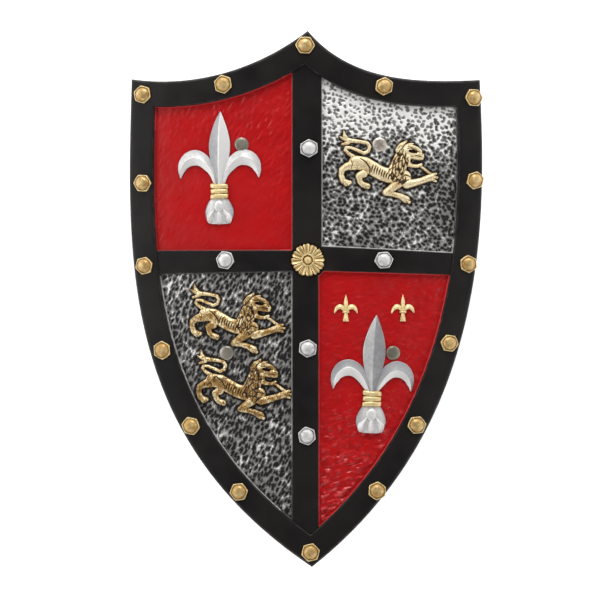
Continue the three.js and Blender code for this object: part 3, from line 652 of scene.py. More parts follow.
# Each bolt on the frame is a side, its share of the side, and how far in it stands as a share of the frame.
FRAME_BOLTS = [
    ("side_right", 0.053, 0.33), ("side_right", 0.255, 0.34), ("side_right", 0.426, 0.36),
    ("side_right", 0.578, 0.46), ("side_right", 0.732, 0.45), ("side_right", 0.856, 0.34),
    ("side_left", 0.968, 0.52), ("side_left", 0.789, 0.58), ("side_left", 0.625, 0.47),
    ("side_left", 0.454, 0.53), ("side_left", 0.299, 0.42), ("side_left", 0.156, 0.42),
    ("top_right", 0.487, 0.44), ("top_left", 0.468, 0.44),
]
PEAK_BOLT = (-2.9, BOARD_HEIGHT / 2 - 0.58 * BORDER_WIDTH)
TIP_BOLT = (2.9, 0.58 * BORDER_WIDTH - BOARD_HEIGHT / 2)
CROSS_BOLTS = np.array([[1.3, 125], [-91, 0], [83.6, 0], [0, -98.8], [-1, -196.7]]) + (0, CROSS_HEIGHT)
BOLT_TURN = math.radians(17)


def bolt_head(x, y, level, number, painted_dome_highlight):
    """One bolt head as a surface: rings that blend from a hexagon to a circle, each at its own height."""
    random = np.random.default_rng(number)
    angle = np.arange(BOLT_SPOKES) * 2 * math.pi / BOLT_SPOKES
    hexagon = math.cos(math.pi / 6) / np.cos((angle % (math.pi / 3)) - math.pi / 6)
    radius, height, roundness, dark = np.array(BOLT_RINGS).T[..., None]
    reach = radius * (hexagon * (1 - roundness) + roundness)
    reach = reach * (1 + random.uniform(-0.015, 0.015) + 0.02 * np.cos(2 * angle + random.uniform(0, 6)))
    px = x + reach * np.cos(angle + number * BOLT_TURN)
    py = y + reach * np.sin(angle + number * BOLT_TURN)
    flat = corners(px, py, level + height + 0.1 * hills(px, py, 4, 31) * (height > 0.2))
    faces = grid_faces(*px.shape, closed=True)
    flat, faces = closed_end(flat, faces, len(flat) - BOLT_SPOKES, BOLT_SPOKES, [x, y, level + BOLT_TOP])
    # The dome is darkened as painted shade, and on the silver bolts its top is lightened as a painted
    # highlight.
    hollow = dark * (0.9 + 0.4 * hills(px, py, 3, 32)) - painted_dome_highlight * (height > 2.6)
    return flat, faces, {"depth_and_painted_light": np.append(hollow, 0.1)}


frame_spots = [inside(side, share, inset * BORDER_WIDTH)[0] for side, share, inset in FRAME_BOLTS]
frame_spots += [PEAK_BOLT, TIP_BOLT]
gold_bolts = [bolt_head(*spot, BORDER_TOP, i, 0.0) for i, spot in enumerate(frame_spots)]
silver_bolts = [bolt_head(*spot, CROSS_TOP, 16 + i, 0.15) for i, spot in enumerate(CROSS_BOLTS)]
make_piece("gold_bolt_heads", joined(gold_bolts), "gold_paint", gold_full)
make_piece("silver_bolt_heads", joined(silver_bolts), "silver_paint", silver)

# %% [markdown]
# ## The rosette
#
# Twelve cupped petals stand round a small domed eye. One polar grid makes it all: along the angle each petal
# is a shallow cup with raised rims, along the radius it rises from the eye and drops at its notched end. No
# two petals are alike, so each has its own random length, height and notch.

# %% The rosette
ROSETTE_RADIUS = 18.5
ROSETTE_HEIGHT = 3.2
PETALS = 12
EYE_RADIUS = 4.6
EYE_HEIGHT = 1.2 * ROSETTE_HEIGHT
ROSETTE_LEVEL = CROSS_TOP - 0.5
PETAL_COLUMNS = 18
ROSETTE_END = [0.93, 0.96, 0.98, 1.0, 1.015]


def rosette():
    """The rosette as a surface: a polar grid of r, the share of a petal's reach, and p, the place across it.

    A petal's reach is the radius less a fourth power of p and a notch. Its height is a cup, higher towards
    its rims, that climbs with r and drops at its end. The eye is half an ellipse and the ring a bell curve.
    """
    random = np.random.default_rng(43)
    angle = np.linspace(0, 2 * math.pi, PETALS * PETAL_COLUMNS, endpoint=False)
    share = np.concatenate([np.linspace(0.03, 0.3, 12), np.linspace(0.32, 0.9, 24), ROSETTE_END])
    position = angle * PETALS / (2 * math.pi) + 0.31
    number = position.astype(int) % PETALS
    across = position % 1 * 2 - 1
    longer, higher, notch = random.uniform(-1, 1, (3, PETALS))[:, number]
    r, p = np.meshgrid(share, across, indexing="ij")
    notched = (0.06 + 0.04 * notch) * (1 - ramp(abs(p - 0.2 * notch), 0, 0.35))
    reach = ROSETTE_RADIUS * (1 - 0.16 * abs(p) ** 4 - notched + 0.03 * longer)
    cup = 0.62 + 0.38 * ramp(abs(p - 0.15 * notch), 0.25, 0.75) - 0.8 * ramp(abs(p), 0.84, 1.0)
    cup *= 1 + 0.22 * higher
    out = ramp(r, 0.3, 0.42) * (0.62 + 0.38 * ramp(r, 0.45, 0.88))
    petal = ROSETTE_HEIGHT * (0.15 + 0.95 * cup * out)
    petal -= (ROSETTE_HEIGHT + 1.4) * ramp(r, 0.93, 1.015)
    # The eye: a dome, a narrow groove, and a raised ring from which the petals spring.
    eye_share = r * ROSETTE_RADIUS / EYE_RADIUS
    dome = EYE_HEIGHT * np.sqrt(np.clip(1 - (eye_share * 0.96) ** 2, 0, 1))
    ring = ROSETTE_HEIGHT * 0.95 * np.exp(-((eye_share - 1.42) / 0.2) ** 2)
    z = ROSETTE_LEVEL + np.where(eye_share < 1.05, np.maximum(dome, 0.9), np.maximum(petal, ring))
    px = r * reach * np.cos(angle)
    py = CROSS_HEIGHT + r * reach * np.sin(angle)
    z += 0.2 * hills(px, py, 1.8, 42) * ramp(r, 0.3, 0.5)
    faces = grid_faces(*px.shape, closed=True)[:, ::-1]
    middle = [0, CROSS_HEIGHT, ROSETTE_LEVEL + EYE_HEIGHT]
    flat, faces = closed_end(corners(px, py, z), faces, 0, len(angle), middle)
    # The cups and the eye are tan, the rims and the ring cream, and only the gaps between petals are dark.
    hollow = 0.22 * (1 - ramp(abs(p - 0.15 * notch), 0.15, 0.75))
    hollow = np.maximum(hollow, 0.85 * ramp(abs(p), 0.88, 1.0) * ramp(r, 0.5, 0.85))
    hollow = np.where(eye_share < 1.05, 0.1, hollow * (eye_share > 1.6))
    hollow = np.maximum(hollow, 0.55 * (1 - ramp(abs(eye_share - 1.1), 0.02, 0.14)))
    hollow = np.maximum(hollow, ramp(r, 0.955, 1.0))
    return flat, faces, {"depth_and_painted_light": np.append(hollow, 0.3)}


make_piece("rosette", rosette(), "gold_paint", gold_full)

# %% [markdown]
# ## The lilies
#
# A petal is a section carried along a bent path. The section has two slightly hollow facets that meet in a
# sharp ridge, as if cut with a gouge, and a short wall down to the panel. The path is a smooth curve through
# a few stations, each with a half width and a height. The band is three rolls, and the foot is carved in
# lobes.

# %% Carving tools
def smooth_path(stations, steps):
    """A Catmull-Rom curve through the stations, all their values blended alike, at even shares."""
    stations = np.array(stations, dtype=float)
    padded = np.vstack([2 * stations[0] - stations[1], stations, 2 * stations[-1] - stations[-2]])
    t = np.linspace(0, len(stations) - 1, steps)
    i = np.minimum(t.astype(int), len(stations) - 2)
    t = (t - i)[:, None]
    a, b, c, d = (padded[i + k] for k in range(4))
    bend = (2 * a - 5 * b + 4 * c - d) * t ** 2 + (3 * b - a - 3 * c + d) * t ** 3
    return 0.5 * (2 * b + (c - a) * t + bend)


def carved(stations, section, steps, size, relief):
    """Carries a section of (across, up, dark) along stations of [x, y, half width, height] shares.

    A corner stands beside the path by across half widths, and above the panel by up heights. A negative up
    is the foot of a wall, in millimetres. Both ends are closed.
    """
    path = smooth_path(stations, steps)
    middle = path[:, :2] * size
    along = np.gradient(middle, axis=0)
    along /= np.linalg.norm(along, axis=1, keepdims=True)
    across, up, dark = np.array(section, dtype=float).T
    reach = np.maximum(path[:, 2:3], 0.001) * size * across
    z = np.where(up < 0, up, up * (path[:, 3:] * relief))
    flat = corners(middle[:, :1] + along[:, 1:] * reach, middle[:, 1:] - along[:, :1] * reach, z)
    faces = grid_faces(*z.shape)
    for first in (0, (steps - 1) * len(section)):
        flat, faces = closed_end(flat, faces, first, len(section), turned_over=first == 0)
    return flat, faces, {"depth_and_painted_light": np.append(np.tile(dark, steps), [0.3, 0.3])}


def placed(parts, x, y, turn=0.0):
    """Turns parts about their foot, moves them to their place, and stands them on the panels' floor."""
    cos, sin = math.cos(turn), math.sin(turn)
    moved = []
    for flat, faces, marks in parts:
        px, py, pz = flat.T
        flat = corners(px * cos - py * sin + x, px * sin + py * cos + y, pz + PANEL_FLOOR)
        moved.append((flat, faces, marks))
    return moved


def mirrored(stations):
    """The same stations, or points of a section, on the other side of the middle."""
    return [[-x, *rest] for x, *rest in stations]


def both_halves(half):
    """A whole section from its left half, of which the last point is the ridge."""
    return half + mirrored(half[-2::-1])


def gouged(ridge, left_painted_shading=0.0, right_painted_shading=0.0):
    """The section of a petal whose ridge stands at a share across: two hollow facets and low walls.

    A facet climbs to its ridge by a share of its width and a little by its square. The two last values are
    painted shade on the left and the right facet, and painted highlight where they are below zero.
    """
    climb = lambda s: 0.36 + 0.64 * (0.72 * s + 0.28 * s * s)
    left = [(a, climb((a + 0.93) / (ridge + 0.93)), left_painted_shading) for a in np.linspace(-0.93, ridge, 7)]
    right = [(a, climb((0.93 - a) / (0.93 - ridge)), right_painted_shading) for a in np.linspace(ridge, 0.93, 7)[1:]]
    wall = [(-1.02, -0.6, 0.9), (-1.0, 0.04, 0.6), (-0.98, 0.26, 0.1)]
    return wall + left + right + mirrored(wall[::-1])


# %% The large lilies
MIDDLE_PETAL = [
    [0.012, 1.005, 0.004, 0.3], [0.009, 0.94, 0.034, 0.6], [0.007, 0.86, 0.064, 0.8],
    [0.005, 0.76, 0.09, 0.95], [0.004, 0.67, 0.096, 1.0], [0.002, 0.57, 0.083, 0.97],
    [0.001, 0.47, 0.062, 0.9], [0, 0.34, 0.037, 0.75],
]
PETAL_ROOT = [0.028, 0.35, 0.018, 0.6]
PETAL_BEND = [
    [0.055, 0.4, 0.032, 0.68], [0.092, 0.462, 0.046, 0.75], [0.145, 0.52, 0.06, 0.83],
    [0.21, 0.548, 0.07, 0.88], [0.275, 0.533, 0.066, 0.86], [0.322, 0.487, 0.05, 0.78],
    [0.344, 0.432, 0.031, 0.62], [0.351, 0.39, 0.013, 0.4], [0.352, 0.366, 0.004, 0.25],
]
BULB = [
    [0, 0.235, 0.062, 0.5], [0, 0.21, 0.085, 0.58], [0, 0.16, 0.112, 0.66], [0, 0.105, 0.127, 0.68],
    [0, 0.055, 0.12, 0.62], [0, 0.018, 0.1, 0.5], [0, -0.004, 0.076, 0.36],
]
CAP = [
    [0, 0.205, 0.02, 0.7], [0, 0.185, 0.045, 0.95], [0, 0.15, 0.055, 1.05], [0, 0.12, 0.045, 0.95],
    [0, 0.1, 0.02, 0.7],
]
FAN = [
    [0, 0.13, 0.02, 0.8], [0, 0.09, 0.034, 1.1], [0, 0.045, 0.04, 1.05], [0, 0.01, 0.03, 0.8],
    [0, -0.006, 0.012, 0.5],
]
KNOB = [
    [0.03, 0.14, 0.014, 0.7], [0.052, 0.105, 0.027, 0.95], [0.076, 0.066, 0.034, 1.05],
    [0.084, 0.03, 0.028, 0.95], [0.082, 0.002, 0.012, 0.5],
]
ROLL = both_halves([
    (-1.02, -0.6, 0.9), (-1.0, 0.25, 0.7), (-0.92, 0.62, 0.35), (-0.7, 0.86, 0.1), (-0.35, 0.97, 0.02),
    (0, 1.0, 0.0),
])
FACETED = both_halves([
    (-1.02, -0.6, 0.9), (-1.0, 0.2, 0.5), (-0.93, 0.5, 0.2), (-0.62, 0.86, 0.05), (-0.55, 0.9, 0.0),
    (0.0, 1.0, 0.0),
])
# Each station of a ring of the band is its share of the reach, its share of the lean, half width and height.
BAND_RING = [
    (-1, 1, 0.018, 0.3), (-0.9, 1, 0.023, 0.6), (-0.5, 0, 0.025, 0.84), (0, -1, 0.026, 0.92),
    (0.5, 0, 0.025, 0.84), (0.9, -1, 0.023, 0.6), (1, -1, 0.018, 0.3),
]
LILY_RELIEF = 6.0


def large_lily(size, spread, lift, thin, left_painted_shading, right_painted_shading):
    """The silver parts and the gold band of a large lily, with their foot at the origin.

    Past its root each side petal is spread and lifted by shares. The last three values are painted shade on
    the outer facets of the side petals and on the two facets of the middle one, as if the light fell from one
    side; below zero they are painted highlight.
    """
    petal = [PETAL_ROOT] + [[x * spread, y + lift, *rest] for x, y, *rest in PETAL_BEND]
    # The middle petal is carved downwards, so what the section calls left is its right.
    # The inner facets of the side petals get a painted highlight, and their outer facets the painted shade
    # given as thin.
    silver_shapes = [
        (mirrored(petal), gouged(0.0, -0.15, thin), 46), (petal, gouged(0.0, thin, -0.15), 46),
        (MIDDLE_PETAL, gouged(0.0, right_painted_shading, left_painted_shading), 46), (BULB, FACETED, 24), (CAP, FACETED, 16),
        (KNOB, gouged(0.0), 20), (mirrored(KNOB), gouged(0.0), 20), (FAN, gouged(0.0), 20),
    ]
    band_shapes = []
    for ring in range(3):
        height = 0.243 + 0.046 * ring
        reach = 0.079 - 0.003 * (ring == 1)
        lean = 0.004 * (ring - 1)
        stations = [[share * reach, height + leans * lean, *rest] for share, leans, *rest in BAND_RING]
        band_shapes.append((stations, ROLL, 24))
    carve_all = lambda shapes: [carved(*shape, size, LILY_RELIEF) for shape in shapes]
    return carve_all(silver_shapes), carve_all(band_shapes)


# Each lily is x, y, its turn, and then what large_lily takes: its height first.
LILIES = {
    "lily_upper_left": (-97.9, 84.4, 0.006, (125.0, 1.0, 0.045, 0.1, 0.34, -0.15)),
    "lily_lower_right": (69.2, -149.9, -0.041, (131.0, 0.94, 0.0, 0.32, 0.14, 0.46)),
}
for name, (x, y, turn, shape) in LILIES.items():
    silver_parts, gold_parts = large_lily(*shape)
    make_piece(name, joined(placed(silver_parts, x, y, turn)), "silver_paint", silver, crease=24)
    make_piece(name + "_band", joined(placed(gold_parts, x, y, turn)), "gold_paint", gold_full)

# %% The small lilies
SMALL_SPEAR = [
    [0, 1.02, 0.012, 0.4], [0, 0.85, 0.055, 0.8], [0, 0.68, 0.08, 0.95], [0, 0.5, 0.065, 1.0],
    [0, 0.34, 0.06, 1.0], [0, 0.16, 0.085, 0.9], [0, -0.01, 0.115, 0.7],
]
SMALL_PETAL = [
    [0.03, 0.36, 0.05, 0.8], [0.1, 0.49, 0.075, 0.9], [0.22, 0.56, 0.095, 0.95], [0.34, 0.5, 0.075, 0.85],
    [0.42, 0.36, 0.035, 0.6], [0.43, 0.29, 0.01, 0.35],
]
SMALL_BAND = [
    [-0.13, 0.35, 0.03, 0.5], [-0.07, 0.35, 0.042, 1.0], [0, 0.35, 0.045, 1.15], [0.07, 0.35, 0.042, 1.0],
    [0.13, 0.35, 0.03, 0.5],
]
SMALL_SHAPES = [
    (SMALL_SPEAR, gouged(0.0), 30), (SMALL_PETAL, gouged(0.1), 26), (mirrored(SMALL_PETAL), gouged(-0.1), 26),
    (SMALL_BAND, ROLL, 14),
]
SMALL_LILY_HEIGHT = 29.0
SMALL_RELIEF = 2.6
SMALL_SPOTS = [(42.0, -25.0), (105.7, -25.0)]
small_lily = [carved(*shape, SMALL_LILY_HEIGHT, SMALL_RELIEF) for shape in SMALL_SHAPES]
both_lilies = placed(small_lily, *SMALL_SPOTS[0]) + placed(small_lily, *SMALL_SPOTS[1])
make_piece("small_lilies", joined(both_lilies), "gold_paint", gold_full, crease=35)

# %% [markdown]
# ## The lions
#
# A lion in low relief is a height over the panel. Each limb is a chain of circles, and near the chain the
# height is a rounded hill as wide as the circles. The highest limb wins at each place, so the far legs go
# under the body. Ribs, locks and the face are then cut into the height, and the same cuts tell the paint
# where the gold doesn't reach.

# %% The lion's limbs, in hundredths of its length: (x, y, radius)
# The first value of a limb is its share of the relief.
LION_LIMBS = {
    "trunk": (1.0, [(17.5, 43.5, 7.0), (26.5, 42.0, 7.2), (35.0, 37.2, 7.1), (43.0, 32.6, 7.0),
                    (51.1, 30.0, 7.4), (60.8, 30.0, 8.6), (66.8, 28.7, 7.2)]),
    "neck": (1.05, [(57.5, 33.0, 8.2), (61.3, 40.0, 8.4), (64.0, 47.0, 8.0), (66.0, 53.5, 6.8)]),
    "skull": (1.12, [(66.5, 54.5, 6.4), (72.5, 55.3, 5.6), (78.0, 54.2, 4.8)]),
    "muzzle": (1.12, [(78.0, 52.8, 4.4), (82.0, 51.6, 3.9), (84.6, 50.0, 2.7)]),
    "brow": (1.35, [(69.0, 60.0, 1.6), (74.0, 60.4, 1.9), (79.5, 58.3, 1.9), (83.5, 55.0, 1.7)]),
    "nose": (1.3, [(83.4, 52.8, 1.7), (85.6, 51.4, 1.5)]),
    "upper lip": (1.25, [(72.5, 48.8, 1.5), (77.5, 48.4, 1.7), (82.5, 47.8, 1.8), (85.3, 47.8, 1.5)]),
    "cheek": (1.25, [(70.0, 50.0, 3.4), (70.6, 46.0, 2.6)]),
    "jaw": (1.0, [(69.5, 43.0, 3.4), (75.0, 40.2, 1.9), (80.5, 40.0, 1.8), (84.2, 41.8, 1.5)]),
    "crest": (1.15, [(61.0, 56.0, 3.3), (64.0, 60.8, 3.0), (68.8, 65.4, 1.0)]),
    "second crest": (1.1, [(67.0, 58.5, 2.4), (71.5, 61.6, 2.0), (75.6, 63.0, 0.8)]),
    "strand": (0.75, [(82.5, 40.6, 1.3), (87.0, 37.6, 1.3), (91.5, 34.0, 1.5), (95.5, 31.0, 1.8)]),
    "raised foreleg": (0.9, [(69.5, 21.8, 4.8), (76.0, 22.8, 3.8), (84.0, 25.0, 3.2), (91.0, 27.6, 3.4),
                             (95.9, 29.0, 4.1)]),
    "upper claw": (0.85, [(95.6, 31.0, 2.1), (99.6, 32.4, 1.3)]),
    "middle claw": (0.9, [(96.6, 28.6, 2.1), (101.0, 28.6, 1.3)]),
    "lower claw": (0.8, [(95.9, 26.4, 1.9), (99.6, 24.8, 1.2)]),
    "upper arm": (1.15, [(65.3, 27.2, 6.6), (59.3, 21.3, 4.8), (52.5, 16.2, 3.9), (47.8, 12.8, 3.2)]),
    "forearm": (0.9, [(47.8, 12.8, 3.2), (56.3, 11.2, 2.6), (63.0, 9.2, 2.9), (68.6, 6.0, 3.8),
                      (71.6, 3.4, 2.1)]),
    "far hind leg": (0.8, [(25.4, 32.2, 4.4), (20.8, 29.8, 3.5), (21.6, 24.0, 2.7), (25.0, 20.7, 2.9),
                           (29.3, 19.2, 3.1)]),
    "near hind leg": (1.0, [(15.3, 41.0, 5.6), (8.8, 39.4, 3.8), (3.7, 36.0, 3.1), (3.0, 30.2, 2.7),
                            (4.9, 24.6, 2.9), (8.4, 22.4, 3.4), (11.6, 23.0, 2.1)]),
    "tail": (0.8, [(16.0, 48.9, 2.2), (10.1, 52.6, 1.8), (6.9, 56.0, 1.7), (8.0, 58.7, 1.6),
                   (13.1, 58.4, 1.6), (19.8, 55.6, 1.7), (25.7, 52.8, 1.8), (30.2, 54.9, 1.8),
                   (31.7, 59.3, 1.8), (29.5, 63.1, 1.8), (22.8, 64.6, 1.8), (15.3, 65.3, 2.1),
                   (9.3, 66.0, 2.7)]),
    "upper tuft": (0.75, [(9.3, 66.0, 2.6), (6.3, 70.5, 1.9), (5.6, 75.4, 0.6)]),
    "middle tuft": (0.7, [(9.3, 66.0, 2.4), (4.4, 67.8, 1.5), (1.6, 69.6, 0.6)]),
    "lower tuft": (0.7, [(10.1, 63.8, 2.2), (3.7, 61.6, 1.2)]),
}


def chain(x, y, circles):
    """How far out a place lies in the nearest tapering link, its gap to that link, and the link's radius.

    A link is the line between two circles, and its radius at a place is blended between theirs. How far out
    is the distance from the line over that radius.
    """
    best = np.full(x.shape, 1e9)
    gap = np.zeros(x.shape)
    wide = np.ones(x.shape)
    for (ax, ay, ar), (bx, by, br) in zip(circles, circles[1:]):
        dx, dy = bx - ax, by - ay
        share = np.clip(((x - ax) * dx + (y - ay) * dy) / (dx * dx + dy * dy), 0, 1)
        away = np.hypot(x - ax - share * dx, y - ay - share * dy)
        radius = ar + share * (br - ar)
        nearer = away / radius < best
        best = np.where(nearer, away / radius, best)
        gap = np.where(nearer, away - radius, gap)
        wide = np.where(nearer, radius, wide)
    return best, gap, wide


def cut(x, y, circles, depth):
    """A groove along a chain: a smooth hollow as wide as the circles."""
    return depth * (1 - ramp(chain(x, y, circles)[0], 0.15, 1.15))


# %% The cuts that carve the ribs, the face and the paws
# Each rib is its place along the trunk, its top and its foot.
RIBS = [(33.6 + 2.4 * k, 41.2 - 1.35 * k, 34.0 - 1.1 * k) for k in range(8)]
# Each cut is its chain of circles and its depth: the face, the cheek and crests, haunch, shoulder, then toes.
CUTS = [
    ([(71.8, 55.4, 1.5), (75.0, 55.0, 2.3), (78.4, 54.2, 1.5)], 3.2),
    ([(69.0, 57.6, 0.5), (73.0, 58.4, 0.6), (78.5, 56.4, 0.6), (81.5, 54.0, 0.4)], 1.3),
    ([(77.5, 50.8, 0.5), (81.0, 50.2, 0.6), (84.0, 49.7, 0.4)], 1.3),
    ([(84.4, 51.9, 0.5), (85.0, 51.4, 0.5)], 1.0),
    ([(67.6, 52.5, 0.6), (66.8, 48.0, 0.8), (67.6, 43.6, 0.6)], 1.6),
    ([(63.0, 56.5, 0.5), (65.8, 60.4, 0.7), (68.2, 63.6, 0.3)], 1.2),
    ([(59.8, 57.5, 0.4), (62.0, 60.5, 0.5)], 0.9),
    ([(22.0, 47.5, 0.5), (27.5, 43.5, 1.0), (31.5, 37.5, 1.0), (31.5, 32.0, 0.5)], 1.2),
    ([(12.5, 46.0, 0.4), (14.0, 41.5, 0.8), (12.5, 37.0, 0.5)], 0.8),
    ([(54.5, 37.0, 0.5), (52.8, 30.5, 0.9), (55.0, 24.5, 0.6)], 1.5),
    ([(60.5, 25.0, 0.4), (67.0, 31.0, 0.8), (73.0, 29.0, 0.5)], 1.4),
    ([(63.5, 20.5, 0.5), (66.8, 23.4, 0.8), (70.0, 26.0, 0.5)], 1.2),
    ([(96.8, 30.2, 0.35), (100.5, 30.7, 0.5)], 1.0), ([(96.8, 27.6, 0.35), (100.5, 26.8, 0.5)], 1.0),
    ([(69.8, 5.8, 0.35), (73.4, 4.4, 0.5)], 1.0), ([(68.4, 4.0, 0.35), (70.6, 1.5, 0.5)], 1.0),
    ([(4.4, 23.0, 0.35), (5.2, 19.6, 0.5)], 0.9), ([(8.2, 21.6, 0.35), (9.6, 18.6, 0.5)], 0.9),
    ([(27.0, 18.8, 0.35), (28.6, 16.0, 0.5)], 0.9), ([(29.6, 19.6, 0.35), (32.4, 17.6, 0.5)], 0.9),
]
LOCK_PITCH = 3.1
MANE = [(62.5, 26.0, 6.0), (59.0, 31.0, 8.5)] + LION_LIMBS["neck"][1]
LION_RELIEF = 5.0
LION_STEP = 0.36
# Each lion is x, y, its length, how furry its paint is, and its seed.
LIONS = {
    "lion_upper_right": (33.6, 104.9, 110.0, 0.25, 50),
    "lion_lower_left_above": (-132.0, -63.0, 105.0, 0.75, 60),
    "lion_lower_left_below": (-124.4, -136.9, 105.0, 1.0, 70),
}


def lion_height(x, y, size):
    """The height over the panel, at places in hundredths of the lion's length: the highest of all limbs.

    A limb's height falls from its middle to its edge as a rounded power of how far out a place lies, and a
    bell curve sinks a seam where two limbs are equally high.
    """
    height = np.full(x.shape, -9.0)
    for share, circles in LION_LIMBS.values():
        best, gap, wide = chain(x, y, circles)
        top = LION_RELIEF * share * np.clip(wide / 3.4, 0.5, 1) ** 0.6
        own = np.where(best < 1, top * (np.clip(1 - best ** 2, 0, None)) ** 0.45, -2.6 * gap * size / 100)
        seam = np.exp(-((height - own) / 0.6) ** 2) * (np.minimum(height, own) > 0.2)
        height = np.maximum(height, own) - 0.35 * seam
    return height


def lion_carving(x, y, seed):
    """The depth of the cuts: ribs, face and toes, and locks where the neck is, as borders between cells."""
    carving = np.zeros(x.shape)
    for low, top, foot in RIBS:
        rib = [(low + 1.3, top, 0.4), (low, (top + foot) / 2, 0.85), (low - 0.5, foot, 0.4)]
        carving = np.maximum(carving, cut(x, y, rib, 1.5))
    for circles, depth in CUTS:
        carving = np.maximum(carving, cut(x, y, circles, depth))
    bent_x, bent_y = x + 1.3 * hills(x, y, 3.0, seed), y + 1.3 * hills(x, y, 3.0, seed + 3)
    border, _, _ = pits(bent_x, bent_y, LOCK_PITCH, 2.8, math.radians(-18), seed)
    on_neck = 1 - ramp(chain(x, y, MANE)[0], 0.86, 1.0)
    on_head = np.maximum(ramp(x + 0.4 * y, 88.0, 90.0), ramp(y, 56.0, 59.0))
    locks = 0.95 * (1 - ramp(border, 0.0, 0.85)) * on_neck * (1 - on_head)
    return np.maximum(carving, locks)


def lion(name, x0, y0, length, furry, seed):
    """One lion: a height over a fine grid less its cuts and fur, kept where it rises from the panel."""
    xs = np.arange(-4, 106, LION_STEP * 100 / length)
    ys = np.arange(-3, 79, LION_STEP * 100 / length)
    u, v = np.meshgrid(xs, ys)
    height = lion_height(u, v, length)
    carving = lion_carving(u, v, seed)
    fur = furry * np.maximum(hills(u, v * 0.6, 0.8, seed), 0) + 0.15 * hills(u, v, 2.6, seed + 1)
    body = ramp(height, 0.4, 1.6)
    z = height - (carving + 0.5 * fur) * body
    flat = corners(x0 + u * length / 100, y0 + v * length / 100, PANEL_FLOOR + np.maximum(z, -1.2))
    faces = grid_faces(*u.shape, keep=height > -1.5)
    # Gold is full on the rims of the limbs. It thins down their sides and leaves the cuts dark. On the furry
    # lions the crowns are tan, a painted shade that leaves the full rims as a painted highlight along the
    # limbs' edges, and soft random patches change every lion's tone a little.
    side = 0.15 * (1 - ramp(height, 1.5, 4.3)) + 0.8 * (1 - ramp(height, 0.1, 1.9)) - 0.1
    crown_shade_and_patches = 0.42 * furry * ramp(height, 2.4, 4.2) + (0.1 + 0.25 * furry) * hills(u, v, 3.6, seed + 2)
    depth_and_painted_light = np.maximum(side + crown_shade_and_patches, 1.15 * ramp(carving, 0.15, 1.1)) + 0.4 * ramp(fur, 0.1, 0.6) * body * furry
    make_piece(name, (flat, faces, {"depth_and_painted_light": depth_and_painted_light.ravel()}), "gold_paint", gold)


for name, (x, y, length, furry, seed) in LIONS.items():
    lion(name, x, y, length, furry, seed)


def near_lions(x, y):
    """How near a place of a panel is to a lion: one at its edge, falling to zero a few millimetres away."""
    near = np.zeros(x.shape)
    for x0, y0, length, _, _ in LIONS.values():
        u, v = (x - x0) * 100 / length, (y - y0) * 100 / length
        box = (u > -6) & (u < 108) & (v > -6) & (v < 82)
        gaps = [chain(u[box], v[box], circles)[1] for _, circles in LION_LIMBS.values()]
        near[box] = np.maximum(near[box], 1 - ramp(np.min(gaps, axis=0) * length / 100, 0.6, 3.6))
    return near


# %% [markdown]
# ## The hammered panels
#
# The four sunk panels are hammered. Two show glossy red enamel over long soft strokes. The other two are
# silver brushed over black, and there the dents are round, deep and close. Dents are like the cells round
# scattered points: each place knows its nearest point, and a dent is deepest there and ends before the next.

# %% Hammered panels
def line_at(spots, side, distance, axis):
    """Where the inset outline's side passes at given heights (axis 1) or widths (axis 0)."""
    line = inset_sides(distance)[list(OUTLINE).index(side)]
    order = np.argsort(line[:, axis])
    return np.interp(spots, line[order, axis], line[order, 1 - axis])


PANEL_STEP = 0.66
UNDER_WALL = 1.6
# The grids reach this far sideways, up and down, past every panel. A wall's foot is this wide.
PANEL_NEAR, PANEL_FAR = 8, 186
PANEL_TOP, PANEL_BOTTOM = 268, -262
WALL_WIDTH = 1.2


def panel_grid(right, upper):
    """A grid over one panel that runs a little under the walls round it, and the cells to keep."""
    xs = np.arange(PANEL_NEAR, PANEL_FAR, PANEL_STEP) * (1 if right else -1)
    low, high = (CROSS_HEIGHT, PANEL_TOP) if upper else (PANEL_BOTTOM, CROSS_HEIGHT)
    x, y = np.meshgrid(np.sort(xs), np.arange(low, high, PANEL_STEP))
    hand = "right" if right else "left"
    side = line_at(y, f"side_{hand}", BORDER_WIDTH, 1)
    top = line_at(x, f"top_{hand}", BORDER_WIDTH, 0)
    keep = (x < side) if right else (x > side)
    keep &= y < top
    keep &= cross_depth(x, y) > -UNDER_WALL
    return x, y, keep


def near_edge(x, y, right, upper):
    """How far a place of a panel lies from the nearest of its walls."""
    hand = "right" if right else "left"
    from_side = abs(line_at(y, f"side_{hand}", BORDER_WIDTH + WALL_WIDTH, 1) - x)
    from_top = line_at(x, f"top_{hand}", BORDER_WIDTH + WALL_WIDTH, 0) - y if upper else 99
    return np.minimum(np.minimum(from_side, from_top), cross_depth(x, y) - WALL_WIDTH)


RIVETS = {
    "hand_left": (-73.2, 173.0), "hand_right": (79.6, 173.0),
    "arm_left": (-90.2, -60.7), "arm_right": (94.7, -60.7),
}
CALM_RING = (7.5, 10.5)


def calm(x, y):
    """Zero under a rivet head and one away from it, so that the head sits flat."""
    return np.prod([ramp(np.hypot(x - px, y - py), *CALM_RING) for px, py in RIVETS.values()], axis=0)


